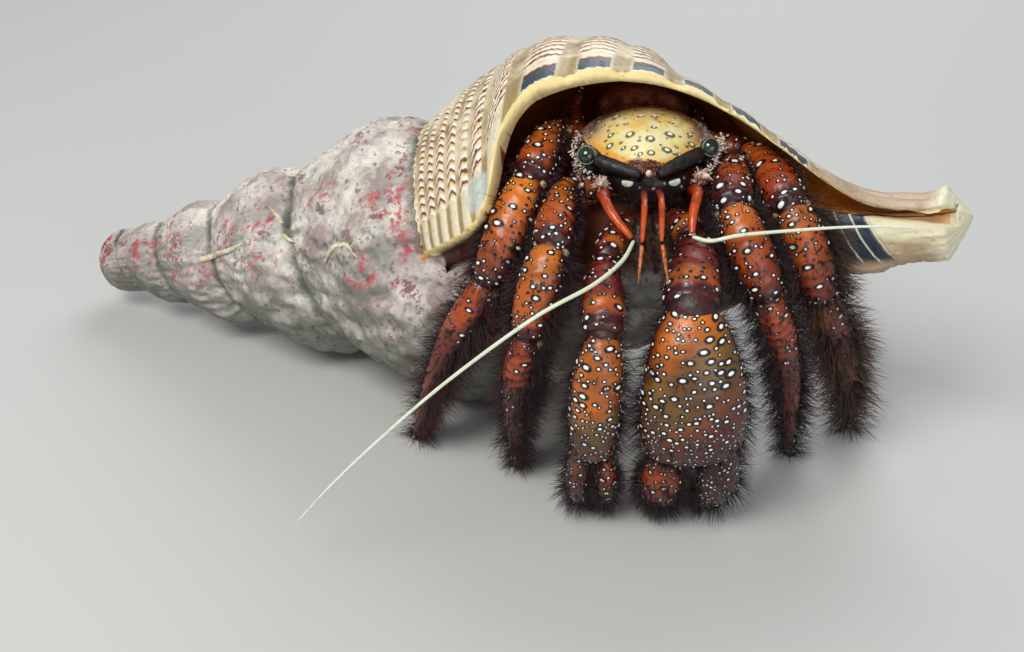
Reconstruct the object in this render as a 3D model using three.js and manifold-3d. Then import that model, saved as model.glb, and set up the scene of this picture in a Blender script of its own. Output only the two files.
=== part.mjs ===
// White-spotted hermit crab leaning out of a triton's trumpet shell.
// Millimetres, +Z up. The crab faces -Y, its own left side is +X, and the
// worn apex of the shell points to -X and a little back.
import * as THREE from 'three';
import { mergeVertices } from 'three/addons/utils/BufferGeometryUtils.js';
import Module from 'manifold-3d';

const wasm = await Module();
wasm.setup();

// ---------------------------------------------------------------- sizes
const SHELL_YAW = 20.8;          // degrees the apex swings back
const SHELL_TILT = 13;           // degrees the axis climbs towards the canal
const AXIS_STATION = 200;        // distance from the virtual apex of the point below
const AXIS_POINT = new THREE.Vector3(0, 0, 52.3);
const FLOOR = 1.3;               // height of the floor in the frame that the points below are in
const TO_MIDDLE = new THREE.Vector3(18.673, 15.444, -FLOOR);
const WHORL_GROWTH = 1.4;        // growth along the axis in one whorl
const GIRTH_POWER = 1.13;        // the girth grows a little faster than the length
const WORN_APEX = 34;            // where the worn tip ends
const WORN_RADIUS = 10.8;        // thickness of the encrusted tip
const CANAL_TIP = 325;
const CANAL_TAPER = 6.5;         // length of the pointed end
const BASE_START = 8.9;          // lip point from which the base runs on to the canal
const SHELL_WALL = 3.4;
const CAVITY_TURNS = 0.8;        // how far the hollow runs back from the lip
const SHELL_ROWS = 44;
const SHELL_COLUMNS = 25;

// The outer lip: distance along the axis, radius, and angle forward from the top.
const LIP = [
  [178, 39, 71], [190, 48, 68], [202, 54.5, 64], [208, 57.5, 59],
  [211, 59.5, 49], [212, 60.5, 38], [216, 61.5, 29], [225, 61.5, 24],
  [238, 59, 20], [251, 52.5, 16], [264, 44, 16], [277, 35, 23],
  [289, 26.5, 37], [300, 18.5, 52], [312, 12, 58], [325, 9.6, 43],
];
// The inner side of the mouth: the wall of the whorl before, then the columella.
const INNER_LIP = [
  [318, 4.5], [306, 6], [292, 9], [272, 11.5], [248, 12.5], [226, 13.5],
  [210, 17], [198, 24], [188, 32],
];

// Share of the radius that the base loses behind the flared lip: [station, share].
const FLARE = [[238, 0], [250, 0.09], [270, 0.24], [287, 0.36], [302, 0.46], [312, 0.34], [325, 0.1]];
const SLIT = 0.085;              // how much further round the canal's slit runs than the mouth

const JOINT_GAP = 0.5;           // space left between two neighbouring pieces
const FOOT_SINK = -0.1;          // how far each tip's line runs on under that frame's zero

const SHIELD_DOME = 7;
const SHIELD_CENTRE = new THREE.Vector3(27.6, -23.4, 94);
const SHIELD_TURN = -8;          // degrees about the vertical

const FLAGELLUM_BASE = 0.95;     // radius of the long feelers where they leave the head
const FLAGELLUM_TIP = 0.42;

// ---------------------------------------------------------------- colours
const COLOURS = {
  shell: 0xc9b79a,
  plate: 0xd8c37a,
  soft: 0x8a4a32,
  limb: 0xb4541a,
  claw: 0x9a5418,
  feeler: 0xd9401a,
  flagellum: 0xcfd8c0,
  stalk: 0x2a1410,
  eye: 0x101a16,
};

const crab = new THREE.Group();

// ---------------------------------------------------------------- helpers
const radians = THREE.MathUtils.degToRad;
const lerp = THREE.MathUtils.lerp;

// Value of a table of [key, value...] rows at a key, in straight steps.
function sample(rows, key, column = 1) {
  const last = rows.length - 1;
  if (key <= rows[0][0]) return rows[0][column];
  for (let i = 0; i < last; i += 1) {
    const [from, to] = [rows[i], rows[i + 1]];
    if (key <= to[0]) {
      return lerp(from[column], to[column], (key - from[0]) / (to[0] - from[0]));
    }
  }
  return rows[last][column];
}

// A ball's net, laid over any closed surface: place(row, column) gives the
// point, and the first and last rows are the two poles.
function closedNet(rows, columns, place) {
  const net = new THREE.SphereGeometry(1, columns, rows);
  const position = net.attributes.position;
  for (let row = 0; row <= rows; row += 1) {
    for (let column = 0; column <= columns; column += 1) {
      const point = place(row, column % columns);
      position.setXYZ(row * (columns + 1) + column, point.x, point.y, point.z);
    }
  }
  return outward(welded(net));
}

function welded(geometry) {
  const bare = geometry.clone();
  bare.deleteAttribute('normal');
  bare.deleteAttribute('uv');
  return mergeVertices(bare, 1e-5);
}

// Turns the triangles round where the volume comes out negative.
function outward(geometry) {
  const index = geometry.index.array;
  const position = geometry.attributes.position;
  const [a, b, c] = [new THREE.Vector3(), new THREE.Vector3(), new THREE.Vector3()];
  let volume = 0;
  for (let i = 0; i < index.length; i += 3) {
    a.fromBufferAttribute(position, index[i]);
    b.fromBufferAttribute(position, index[i + 1]);
    c.fromBufferAttribute(position, index[i + 2]);
    volume += a.dot(b.cross(c));
  }
  if (volume < 0) {
    for (let i = 0; i < index.length; i += 3) {
      [index[i], index[i + 1]] = [index[i + 1], index[i]];
    }
  }
  return geometry;
}

function solid(geometry) {
  const tight = welded(geometry);
  return new wasm.Manifold(new wasm.Mesh({
    numProp: 3,
    vertProperties: new Float32Array(tight.attributes.position.array),
    triVerts: new Uint32Array(tight.index.array),
  }));
}

function unsolid(body) {
  const mesh = body.getMesh();
  const geometry = new THREE.BufferGeometry();
  geometry.setAttribute('position', new THREE.BufferAttribute(mesh.vertProperties, 3));
  geometry.setIndex(new THREE.BufferAttribute(mesh.triVerts, 1));
  return geometry;
}

// Everything under the floor, which trims each foot to a small flat.
function underFloor() {
  const slab = new THREE.BoxGeometry(600, 600, 40);
  slab.translate(0, 0, FLOOR - 20);
  return solid(slab);
}

function trimmed(geometry) {
  return unsolid(solid(geometry).subtract(underFloor()));
}

function add(name, geometry, colour, roughness = 0.55) {
  const material = new THREE.MeshStandardMaterial({ color: colour, roughness, metalness: 0 });
  const mesh = new THREE.Mesh(geometry, material);
  mesh.name = name;
  crab.add(mesh);
}

// ---------------------------------------------------------------- shell
const axis = new THREE.Vector3(
  Math.cos(radians(SHELL_YAW)) * Math.cos(radians(SHELL_TILT)),
  -Math.sin(radians(SHELL_YAW)) * Math.cos(radians(SHELL_TILT)),
  Math.sin(radians(SHELL_TILT)),
);
const top = new THREE.Vector3(0, 0, 1).addScaledVector(axis, -axis.z).normalize();
const front = new THREE.Vector3().crossVectors(axis, top).normalize();

// A point of the shell from its place on the axis, radius and angle from the top.
function shellPoint(station, radius, angle) {
  return AXIS_POINT.clone()
    .addScaledVector(axis, station - AXIS_STATION)
    .addScaledVector(top, radius * Math.cos(radians(angle)))
    .addScaledVector(front, radius * Math.sin(radians(angle)));
}

// Where lip point j lay when the shell was `turns` whorls younger.
function grown(j, turns) {
  const [station, radius] = LIP[j];
  const length = WHORL_GROWTH ** turns;
  const girth = length ** GIRTH_POWER;
  const share = Math.max(0, (j - BASE_START) / (LIP.length - 1 - BASE_START));
  const pinned = share * share * (3 - 2 * share);
  return [station * lerp(length, 1, pinned), radius * lerp(girth, 1, pinned)];
}

const lipAngle = (station) => sample(LIP, station, 2);

// Radius of one whorl at a place and angle, or zero where it does not reach.
function whorlRadius(station, angle, turn) {
  let before = null;
  for (let j = 0; j < LIP.length; j += 1) {
    const turns = (angle - LIP[j][2]) / 360 - turn;
    if (turn > 1 && j > BASE_START + 2) return 0;
    const here = grown(j, turns);
    if (before && station >= before[0] && station <= here[0]) {
      return lerp(before[1], here[1], (station - before[0]) / (here[0] - before[0]));
    }
    before = here;
  }
  return 0;
}

// The lip flares out, so the base is slimmer just behind it. `back` is the share
// of a whorl from the lip back to the place.
function flare(station, back) {
  const rise = THREE.MathUtils.smoothstep(back, 0, 0.11);
  const fall = THREE.MathUtils.smoothstep(back, 0.55, 0.75);
  return 1 - sample(FLARE, station) * rise * (1 - fall);
}

function outerRadius(station, angle) {
  let radius = 0;
  for (let turn = 1; turn <= 7; turn += 1) {
    radius = Math.max(radius, whorlRadius(station, angle, turn));
  }
  const tip = Math.min(1, (station - WORN_APEX) / 9);
  const canal = Math.max(0, Math.min(1, (CANAL_TIP - station) / CANAL_TAPER)) ** 0.8;
  const least = station < 90 ? WORN_RADIUS : 0;
  const back = 1 - (angle - lipAngle(station)) / 360;
  return Math.max(radius, least) * flare(station, back)
    * Math.sqrt(tip * (2 - tip)) * canal;
}

function shellBody() {
  const seam = 1.5;              // degrees between the lip and the wall below it
  return closedNet(SHELL_ROWS, SHELL_COLUMNS, (row, column) => {
    const share = row / SHELL_ROWS;
    const station = lerp(WORN_APEX, CANAL_TIP, 0.5 * share + 0.5 * Math.sin(share * Math.PI / 2) ** 1.35);
    const turn = column / (SHELL_COLUMNS - 1);
    const angle = lipAngle(station) + (column === 0 ? seam : 360 * turn);
    return shellPoint(station, outerRadius(station, Math.min(angle, lipAngle(station) + 360)), angle);
  });
}

// The hollow from the mouth back round the body whorl.
function shellCavity() {
  const outline = [];
  for (let j = 0; j < LIP.length; j += 1) {
    outline.push([Math.min(LIP[j][0] + 3, 326), LIP[j][1] - SHELL_WALL, LIP[j][2]]);
  }
  for (const [station, radius] of INNER_LIP) {
    outline.push([station, radius, lipAngle(station)]);
  }
  const centre = [235, 32, 30];
  const steps = 18;
  return closedNet(steps, outline.length, (row, column) => {
    const pole = row === 0 || row === steps;
    const [station, radius, angle] = pole ? centre : outline[column];
    const late = Math.min(1, Math.max(0, (station - 262) / 60));
    const turns = lerp(0.035 + SLIT * late, -CAVITY_TURNS, row / steps);
    const length = WHORL_GROWTH ** Math.min(turns, 0);
    const pull = lerp(station * length, station, late * 0.4);
    const narrow = pull > 262 && turns < 0 ? Math.max(0.35, 1 + turns * late * 2.2) : 1;
    const girth = length ** GIRTH_POWER * narrow * flare(pull, Math.max(-turns, 0));
    return shellPoint(pull, radius * girth, angle + 360 * turns);
  });
}

function makeShell() {
  const body = solid(shellBody()).subtract(solid(shellCavity()));
  add('shell', unsolid(body.subtract(underFloor())), COLOURS.shell, 0.6);
}

// ---------------------------------------------------------------- limbs
// A tapering length along a curve from one place on it to another. Each row of
// `girth` is [share of the length, half width, half depth]; `side` is the
// direction that the width is measured in.
function lengthAlong(curve, from, to, girth, side, rows = 7, columns = 10, blunt = 0.13) {
  return closedNet(rows, columns, (row, column) => {
    const share = (1 - Math.cos(Math.PI * row / rows)) / 2;
    const at = lerp(from, to, share);
    const along = curve.getTangent(at);
    const across = side.clone().addScaledVector(along, -side.dot(along)).normalize();
    const through = new THREE.Vector3().crossVectors(along, across);
    const end = Math.sin(Math.PI * share) ** blunt;
    const turn = 2 * Math.PI * column / columns;
    const width = row % rows === 0 ? 0 : sample(girth, share, 1) * end;
    const depth = row % rows === 0 ? 0 : sample(girth, share, 2) * end;
    return curve.getPoint(at)
      .addScaledVector(across, width * Math.cos(turn))
      .addScaledVector(through, depth * Math.sin(turn));
  });
}

const curveThrough = (points) => new THREE.CatmullRomCurve3(
  points.map(([x, y, z]) => new THREE.Vector3(x, y, z)),
);

// Cuts a limb into its pieces at the numbered points of its curve.
function limb(name, points, pieces, side, colour) {
  const curve = curveThrough(points);
  const last = points.length - 1;
  for (const piece of pieces) {
    const reach = curve.getPoint(piece.to / last).distanceTo(curve.getPoint(piece.from / last));
    const margin = JOINT_GAP / reach / 2 * (piece.to - piece.from);
    const body = lengthAlong(
      curve,
      (piece.from + margin) / last,
      (piece.to === last ? last : piece.to - margin) / last,
      piece.girth,
      side,
      piece.rows ?? 7,
      piece.columns ?? 10,
      piece.blunt ?? 0.13,
    );
    const geometry = piece.to === last && piece.foot ? trimmed(body) : body;
    add(`${name}_${piece.part}`, geometry, colour);
  }
}

// ---------------------------------------------------------------- walking legs
const LEG_GIRTH = {
  merus: [[0, 3.2, 3.2], [0.5, 4.6, 4.8], [1, 3.2, 3.4]],
  carpus: [[0, 2.8, 3], [0.4, 4.8, 4.8], [0.85, 6, 5.8], [1, 5.6, 5.2]],
  propodus: [[0, 5, 5], [0.2, 6, 5.8], [0.6, 6.2, 6], [1, 5.2, 5]],
  dactylus: [[0, 4.9, 4.7], [0.25, 5, 4.9], [0.6, 3.5, 3.7], [1, 1.1, 1.4]],
};
const WALKING_LEGS = {
  leg_2_right: [
    [18.2, -27, 82], [7.4, -30.5, 84], [0.9, -55, 77],
    [-5, -62, 55], [-8, -57, 32], [-8, -46, -FOOT_SINK],
  ],
  leg_3_right: [
    [14.6, -10, 83.6], [4.2, -15.5, 94], [-4.6, -36, 88],
    [-16, -50, 64.5], [-27, -47, 42], [-39, -31, -FOOT_SINK],
  ],
  leg_2_left: [
    [37.2, -27.4, 83.4], [49.4, -27, 88.6], [48.8, -49, 85.6],
    [57.6, -60, 65.5], [65.5, -56, 42], [73, -40, -FOOT_SINK],
  ],
  leg_3_left: [
    [39, -14, 86.5], [55.2, -21, 90.2], [64, -47.8, 84.8],
    [74, -51.5, 60.5], [84, -43, 38], [94, -26, -FOOT_SINK],
  ],
};

function makeWalkingLegs() {
  const side = new THREE.Vector3(1, 0, 0);
  for (const [name, points] of Object.entries(WALKING_LEGS)) {
    limb(name, points, [
      { part: 'merus', from: 0, to: 1, girth: LEG_GIRTH.merus, rows: 5 },
      { part: 'carpus', from: 1, to: 2, girth: LEG_GIRTH.carpus },
      { part: 'propodus', from: 2, to: 3, girth: LEG_GIRTH.propodus },
      { part: 'dactylus', from: 3, to: 5, girth: LEG_GIRTH.dactylus, rows: 8, foot: true },
    ], side, COLOURS.limb);
  }
}

// ---------------------------------------------------------------- claws
const CLAWS = {
  left: {
    arm: [[32.5, -36.5, 77], [38.4, -49.5, 77], [36.2, -72, 68.5], [37.2, -79, 50], [38, -77.5, 27]],
    arms: [[[0, 3.4, 3.4], [0.5, 4.8, 5], [1, 4, 4.2]], [[0, 4.4, 4.4], [0.5, 6.8, 6.8], [1, 8.4, 7]]],
    palm: [[0, 8.2, 7], [0.35, 11.6, 9], [0.75, 14.4, 9.4], [1, 14.4, 8.4]],
    fixed: [[44, -77.6, 36], [46, -73.5, 15], [42, -62, -FOOT_SINK]],
    moving: [[31.2, -77.2, 25.6], [31, -72.5, 13], [36.6, -62, -FOOT_SINK]],
    finger: [[0, 6.4, 6.2], [0.4, 6.4, 6], [1, 2.4, 2.4]],
  },
  right: {
    arm: [[22.6, -37, 77], [15.2, -54.5, 72.6], [14, -75, 62.5], [12.2, -79, 46], [12.2, -77, 27]],
    arms: [[[0, 3, 3.2], [0.5, 4.2, 4.6], [1, 3.8, 4]], [[0, 4, 4.2], [0.5, 5.6, 5.8], [1, 6, 5.6]]],
    palm: [[0, 5.8, 5.4], [0.4, 7, 6.4], [1, 6.8, 6]],
    fixed: [[9.2, -77.4, 35], [8.2, -73.5, 15], [10.8, -62, -FOOT_SINK]],
    moving: [[15.4, -76.8, 25.6], [16.2, -72.5, 13], [14.2, -62, -FOOT_SINK]],
    finger: [[0, 3.2, 4.2], [0.4, 3.3, 4.2], [1, 1.3, 1.8]],
  },
};

function makeClaws() {
  const side = new THREE.Vector3(1, 0, 0);
  for (const [hand, claw] of Object.entries(CLAWS)) {
    const name = `claw_${hand}`;
    limb(name, claw.arm, [
      { part: 'merus', from: 0, to: 1, girth: claw.arms[0], rows: 6 },
      { part: 'carpus', from: 1, to: 2, girth: claw.arms[1] },
    ], side, COLOURS.claw);
    const curve = curveThrough(claw.arm);
    const wrist = 0.5 + 0.006;
    const palm = lengthAlong(curve, wrist, 1, claw.palm, side, 9, 12);
    const fixed = lengthAlong(curveThrough(claw.fixed), 0, 1, claw.finger, side, 8, 10, 0.3);
    const moving = lengthAlong(curveThrough(claw.moving), 0, 1, claw.finger, side, 8, 10, 0.3);
    add(`${name}_palm`, trimmed(unsolid(solid(palm).add(solid(fixed)))), COLOURS.claw);
    add(`${name}_finger`, trimmed(moving), COLOURS.claw);
  }
}

// ---------------------------------------------------------------- body
// Half of the shield's edge, from the point between the eyes round to the back: [sideways, ahead].
const SHIELD_EDGE = [
  [0, 18.4], [4, 17], [8.4, 13.4], [12.8, 8.6], [16.8, 3.2], [17.8, -2],
  [17.2, -7], [14.8, -12.5], [10.8, -17.5], [5.6, -21], [0, -22.2],
];

function makeShield() {
  const rows = 10;
  const half = SHIELD_EDGE.length - 1;
  const plate = closedNet(rows, 2 * half, (row, column) => {
    const share = row / rows;
    const reach = Math.sin(Math.PI * share) ** 0.8;
    const [sideways, ahead] = SHIELD_EDGE[Math.min(column, 2 * half - column)];
    const upper = share < 0.5 ? SHIELD_DOME * (1 - reach ** 2.2) : -2 * (1 - reach ** 2);
    return new THREE.Vector3(reach * (column > half ? -sideways : sideways), -reach * ahead, upper);
  });
  plate.rotateZ(radians(SHIELD_TURN));
  plate.translate(SHIELD_CENTRE.x, SHIELD_CENTRE.y, SHIELD_CENTRE.z);
  add('carapace_shield', plate, COLOURS.plate);
}

function ball(centre, halfSizes, turn, rows = 8, columns = 14, power = 0.85) {
  const round = (value) => Math.sign(value) * Math.abs(value) ** power;
  const body = closedNet(rows, columns, (row, column) => {
    const tall = Math.PI * row / rows;
    const around = 2 * Math.PI * column / columns;
    return new THREE.Vector3(
      round(Math.sin(tall)) * round(Math.cos(around)) * halfSizes[0],
      round(Math.sin(tall)) * round(Math.sin(around)) * halfSizes[1],
      Math.cos(tall) * halfSizes[2],
    );
  });
  body.rotateX(radians(turn[0]));
  body.rotateZ(radians(turn[1]));
  body.translate(...centre);
  return body;
}

function makeBody() {
  add('thorax', ball([27.4, -26, 85.8], [9.8, 17.5, 5.4], [4, SHIELD_TURN]), COLOURS.soft);
  add('carapace_rear', ball([29.5, 9.5, 88.5], [14.5, 11.8, 9.5], [-32, -20]), COLOURS.soft);
}

// The soft abdomen follows the hollow of the shell back and down.
function makeAbdomen() {
  const points = [];
  const starts = -62;
  const ends = -235;
  const count = 9;
  for (let i = 0; i < count; i += 1) {
    const angle = lerp(starts, ends, i / (count - 1));
    const length = WHORL_GROWTH ** ((angle + 30) / 360);
    const station = 231 * length;
    points.push(shellPoint(station, 33 * length ** GIRTH_POWER, angle).toArray());
  }
  const girth = [[0, 12.5, 12.5], [0.5, 11, 11], [1, 9.5, 9.5]];
  const slim = [[0, 9.2, 9.2], [0.6, 7, 7], [1, 5.5, 5.5]];
  const fan = [[0, 5, 5], [0.6, 5.2, 3.2], [1, 4, 1.6]];
  limb('abdomen', points, [
    { part: 'front', from: 0, to: 4, girth, rows: 9, columns: 12 },
    { part: 'rear', from: 4, to: 7, girth: slim, rows: 8 },
    { part: 'tail_fan', from: 7, to: 8, girth: fan, rows: 5 },
  ], axis, COLOURS.soft);
}

// The two small pairs of legs that hold the shell from inside.
const GRIPPING_LEGS = {
  leg_4_right: [[13.4, -3, 87], [9.5, 4, 90], [11, 11, 97]],
  leg_4_left: [[41.5, -8, 89], [46, -1, 88], [44.6, 6, 91.6]],
  leg_5_right: [[12.6, 8, 83], [9, 16, 83], [12, 23, 88]],
  leg_5_left: [[43.2, -2, 80.4], [45.6, 3.5, 80], [45, 8.5, 81]],
};

const GRIPPING_GIRTH = [[0, 2, 2], [0.5, 1.9, 1.9], [1, 1.2, 1.2]];

function makeGrippingLegs() {
  const side = new THREE.Vector3(1, 0, 0);
  for (const [name, points] of Object.entries(GRIPPING_LEGS)) {
    const body = lengthAlong(curveThrough(points), 0, 1, GRIPPING_GIRTH, side, 7, 6);
    add(name, body, COLOURS.limb);
  }
}

// ---------------------------------------------------------------- head
const HEAD = {
  eyestalk_right: {
    path: [[22.4, -44, 93.7], [13.2, -38.5, 95]],
    girth: [[0, 2.1, 2.1], [0.5, 2, 2], [1, 2.4, 2.4]],
    colour: 'stalk',
  },
  eyestalk_left: {
    path: [[30.8, -43, 93.5], [40.9, -35.4, 95.7]],
    girth: [[0, 2.1, 2.1], [0.5, 2, 2], [1, 2.4, 2.4]],
    colour: 'stalk',
  },
  eye_scale_right: {
    path: [[20.9, -46.4, 91], [20.4, -47.4, 93.2]],
    girth: [[0, 1.6, 0.8], [1, 1, 0.6]],
    colour: 'plate',
  },
  eye_scale_left: {
    path: [[33.2, -45.2, 90.8], [33.4, -46.2, 93]],
    girth: [[0, 1.6, 0.8], [1, 1, 0.6]],
    colour: 'plate',
  },
  antenna_scale_right: {
    path: [[14.5, -43, 90], [13.6, -49.5, 93]],
    girth: [[0, 2, 1.5], [1, 0.8, 0.7]],
    colour: 'plate',
  },
  antenna_scale_left: {
    path: [[40.5, -38, 90], [42, -44, 92.6]],
    girth: [[0, 2, 1.5], [1, 0.8, 0.7]],
    colour: 'plate',
  },
  antenna_base_right: {
    path: [[15.6, -42.4, 86.4], [14.4, -52, 90.4], [16.4, -58, 88.2], [21.1, -63, 84]],
    girth: [[0, 1.6, 1.6], [1, 1.2, 1.2]],
    colour: 'feeler',
  },
  antenna_base_left: {
    path: [[38.4, -39, 86.2], [39, -48.5, 89.8], [37.4, -54.5, 86.8], [36.9, -58.6, 83.1]],
    girth: [[0, 1.6, 1.6], [1, 1.2, 1.2]],
    colour: 'feeler',
  },
  antennule_right: {
    path: [[25.2, -46, 89], [24.2, -60, 92], [23, -70.4, 86.6]],
    girth: [[0, 1.1, 1.1], [1, 0.9, 0.9]],
    colour: 'feeler',
  },
  antennule_left: {
    path: [[29.2, -45.5, 89], [28.6, -59, 92], [27.9, -70, 86.6]],
    girth: [[0, 1.1, 1.1], [1, 0.9, 0.9]],
    colour: 'feeler',
  },
  antennule_tip_right: {
    path: [[22.9, -71, 86], [21.9, -77, 78.4]],
    girth: [[0, 0.8, 0.8], [1, 0.45, 0.45]],
    colour: 'feeler',
  },
  antennule_tip_left: {
    path: [[28, -70.6, 86], [29.3, -77, 78.4]],
    girth: [[0, 0.8, 0.8], [1, 0.45, 0.45]],
    colour: 'feeler',
  },
  maxilliped_right: {
    path: [[25, -44.5, 81.5], [24, -51, 78], [24.6, -53, 68]],
    girth: [[0, 1.8, 2], [0.5, 2, 2.2], [1, 1, 1]],
    colour: 'soft',
  },
  maxilliped_left: {
    path: [[29.6, -44, 81.5], [29.4, -50, 78], [28.8, -52.5, 68]],
    girth: [[0, 1.8, 2], [0.5, 2, 2.2], [1, 1, 1]],
    colour: 'soft',
  },
};
const EYE_RADIUS = 2.7;
const EYES = { eye_right: [10.7, -36.5, 95.3], eye_left: [43.5, -33, 96.1] };
const FLAGELLA = {
  antenna_flagellum_right: [
    [21.5, -63.6, 83.4], [18.4, -72, 82.6], [10.5, -84, 82], [-3, -91, 77.4],
    [-25, -94.5, 61], [-42, -95, 44.5], [-55, -93.5, 29.5], [-65.5, -91.5, 15.5],
  ],
  antenna_flagellum_left: [
    [37, -59.2, 82.5], [41, -61.4, 82.4], [48, -62, 84.2],
    [60.5, -61, 85], [79, -58.5, 85], [96.5, -56, 83.6],
  ],
};

function makeHead() {
  const side = new THREE.Vector3(1, 0, 0);
  const upright = new THREE.Vector3(0, 0, 1);
  for (const [name, piece] of Object.entries(HEAD)) {
    const lies = name.startsWith('eyestalk') ? upright : side;
    const rows = 3 + 2 * (piece.path.length - 1);
    const body = lengthAlong(curveThrough(piece.path), 0, 1, piece.girth, lies, rows, 8, 0.2);
    add(name, body, COLOURS[piece.colour]);
  }
  for (const [name, centre] of Object.entries(EYES)) {
    add(name, ball(centre, [EYE_RADIUS, EYE_RADIUS, EYE_RADIUS], [0, 0], 7, 10, 1), COLOURS.eye, 0.15);
  }
  const taper = [[0, FLAGELLUM_BASE, FLAGELLUM_BASE], [1, FLAGELLUM_TIP, FLAGELLUM_TIP]];
  for (const [name, points] of Object.entries(FLAGELLA)) {
    add(name, lengthAlong(curveThrough(points), 0, 1, taper, upright, 18, 6, 0.1), COLOURS.flagellum);
  }
}

makeShell();
makeShield();
makeBody();
makeAbdomen();
makeWalkingLegs();
makeClaws();
makeGrippingLegs();
makeHead();

// The origin goes from under the shell's axis to the floor under the middle of the whole.
crab.position.copy(TO_MIDDLE);

export default crab;
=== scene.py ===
import math
import bpy
import numpy as np
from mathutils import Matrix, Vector


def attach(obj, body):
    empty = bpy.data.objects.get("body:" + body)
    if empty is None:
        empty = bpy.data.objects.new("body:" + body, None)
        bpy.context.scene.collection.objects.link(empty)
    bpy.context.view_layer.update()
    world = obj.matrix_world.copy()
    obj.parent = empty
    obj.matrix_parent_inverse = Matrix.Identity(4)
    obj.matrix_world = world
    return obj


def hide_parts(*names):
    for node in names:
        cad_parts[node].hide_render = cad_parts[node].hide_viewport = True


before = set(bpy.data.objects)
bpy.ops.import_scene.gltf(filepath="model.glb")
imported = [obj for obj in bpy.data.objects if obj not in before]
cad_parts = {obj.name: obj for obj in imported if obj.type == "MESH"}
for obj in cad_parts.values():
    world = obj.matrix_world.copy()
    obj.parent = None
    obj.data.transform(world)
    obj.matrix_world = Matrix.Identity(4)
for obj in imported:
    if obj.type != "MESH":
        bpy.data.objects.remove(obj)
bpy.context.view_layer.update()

# White-spotted hermit crab in a triton's trumpet shell.
# Lengths are in millimetres in the modelling frame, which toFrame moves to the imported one.
mm = 0.001
toFrame = np.array([18.673, 15.444, -1.3])
floorLevel = -toFrame[2] + 0.02              # the lowest that a piece reaches, just clear of the floor
fullTurn = 2 * math.pi
scene = bpy.context.scene


# Small tools.

def deselect():
    bpy.ops.object.select_all(action="DESELECT")


def smoothstep(low, high, value):
    share = np.clip((value - low) / (high - low), 0, 1)
    return share * share * (3 - 2 * share)


# A round hill of height 1 at a place, falling off over a half width.
def hill(value, place, half):
    return np.exp(-((value - place) / half) ** 2)


def unit(vector):
    return vector / np.maximum(np.linalg.norm(vector, axis=-1, keepdims=True), 1e-9)


# Rows of a table with steps between them, rounded off where they turn.
def refined(rows, steps=6, passes=6):
    rows = np.array(rows, float)
    index = np.linspace(0, len(rows) - 1, (len(rows) - 1) * steps + 1)
    fine = np.stack([np.interp(index, np.arange(len(rows)), column) for column in rows.T], 1)
    for _ in range(passes):
        fine[1:-1] = (fine[:-2] + 2 * fine[1:-1] + fine[2:]) / 4
    return fine


# Smooth random values in space, one for each point, made of a few turned waves.
def ripple(points, size, seed, waves=10):
    rng = np.random.default_rng(seed)
    total = np.zeros(len(points))
    for _ in range(waves):
        way = unit(rng.normal(size=3)) * rng.uniform(0.6, 1.5) * fullTurn / size
        total += np.sin(points @ way + rng.uniform(0, fullTurn))
    return total / math.sqrt(waves / 2)


def setPoints(mesh, points):
    mesh.vertices.foreach_set("co", ((points + toFrame) * mm).ravel())
    mesh.update()


# One value or vector of every item, such as each vertex or face.
def fetched(items, key, width=1, kind=float):
    flat = np.zeros(len(items) * width, kind)
    items.foreach_get(key, flat)
    return flat.reshape(-1, width) if width > 1 else flat


def getPoints(mesh):
    return fetched(mesh.vertices, "co", 3) / mm - toFrame


def vertexNormals(mesh):
    return fetched(mesh.vertices, "normal", 3)


# Middles, normals and areas of the faces, sorted by their vertices: a primitive lists its faces in
# another order each run.
def faceData(mesh):
    corners = fetched(mesh.loops, "vertex_index", 1, int)
    starts = fetched(mesh.polygons, "loop_start", 1, int)
    order = np.lexsort([key.reduceat(corners, starts) for key in (np.add, np.maximum, np.minimum)])
    centre = fetched(mesh.polygons, "center", 3) / mm - toFrame
    return centre[order], fetched(mesh.polygons, "normal", 3)[order], fetched(mesh.polygons, "area")[order]


def onFloor(piece):
    points = getPoints(piece.data)
    points[:, 2] = np.maximum(points[:, 2], floorLevel)
    setPoints(piece.data, points)


def smoothed(mesh):
    mesh.polygons.foreach_set("use_smooth", [True] * len(mesh.polygons))


def dot(a, b):
    return np.einsum("ij,ij->i", a, b)


# A pair of lengths turned by an angle in radians.
def turned(a, b, angle):
    return a * math.cos(angle) - b * math.sin(angle), a * math.sin(angle) + b * math.cos(angle)


# How far along the line from start to end each point lies, as a share.
def shareAlong(points, start, end):
    line = np.array(end, float) - start
    return (points - start) @ line / (line @ line)


def paint(mesh, name, values):
    kind = "FLOAT" if values.ndim == 1 else "FLOAT_VECTOR"
    layer = mesh.attributes.new(name, kind, "POINT")
    layer.data.foreach_set("value" if values.ndim == 1 else "vector", values.astype(np.float32).ravel())


# Turns the faces round where the volume comes out negative.
def faceOut(mesh):
    mesh.calc_loop_triangles()
    corner = getPoints(mesh)[fetched(mesh.loop_triangles, "vertices", 3, int)]
    if dot(corner[:, 0], np.cross(corner[:, 1], corner[:, 2])).sum() < 0:
        mesh.flip_normals()


# A ball whose net is laid over a closed shape: place(share, turn) gives the points.
def ballNet(name, rows, columns, place):
    deselect()
    bpy.ops.mesh.primitive_uv_sphere_add(segments=columns, ring_count=rows, radius=1)
    piece = bpy.context.object
    piece.name = name
    piece.data.name = name
    x, y, z = fetched(piece.data.vertices, "co", 3).T
    share = np.round(np.arccos(np.clip(z, -1, 1)) / math.pi * rows) / rows
    turn = np.round(np.arctan2(y, x) / fullTurn * columns) / columns % 1
    turn[(share == 0) | (share == 1)] = 0
    setPoints(piece.data, place(share, turn))
    faceOut(piece.data)
    smoothed(piece.data)
    return piece, share, turn


def dress(piece, *materials):
    piece.data.materials.clear()
    for material in materials:
        piece.data.materials.append(material)


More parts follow.
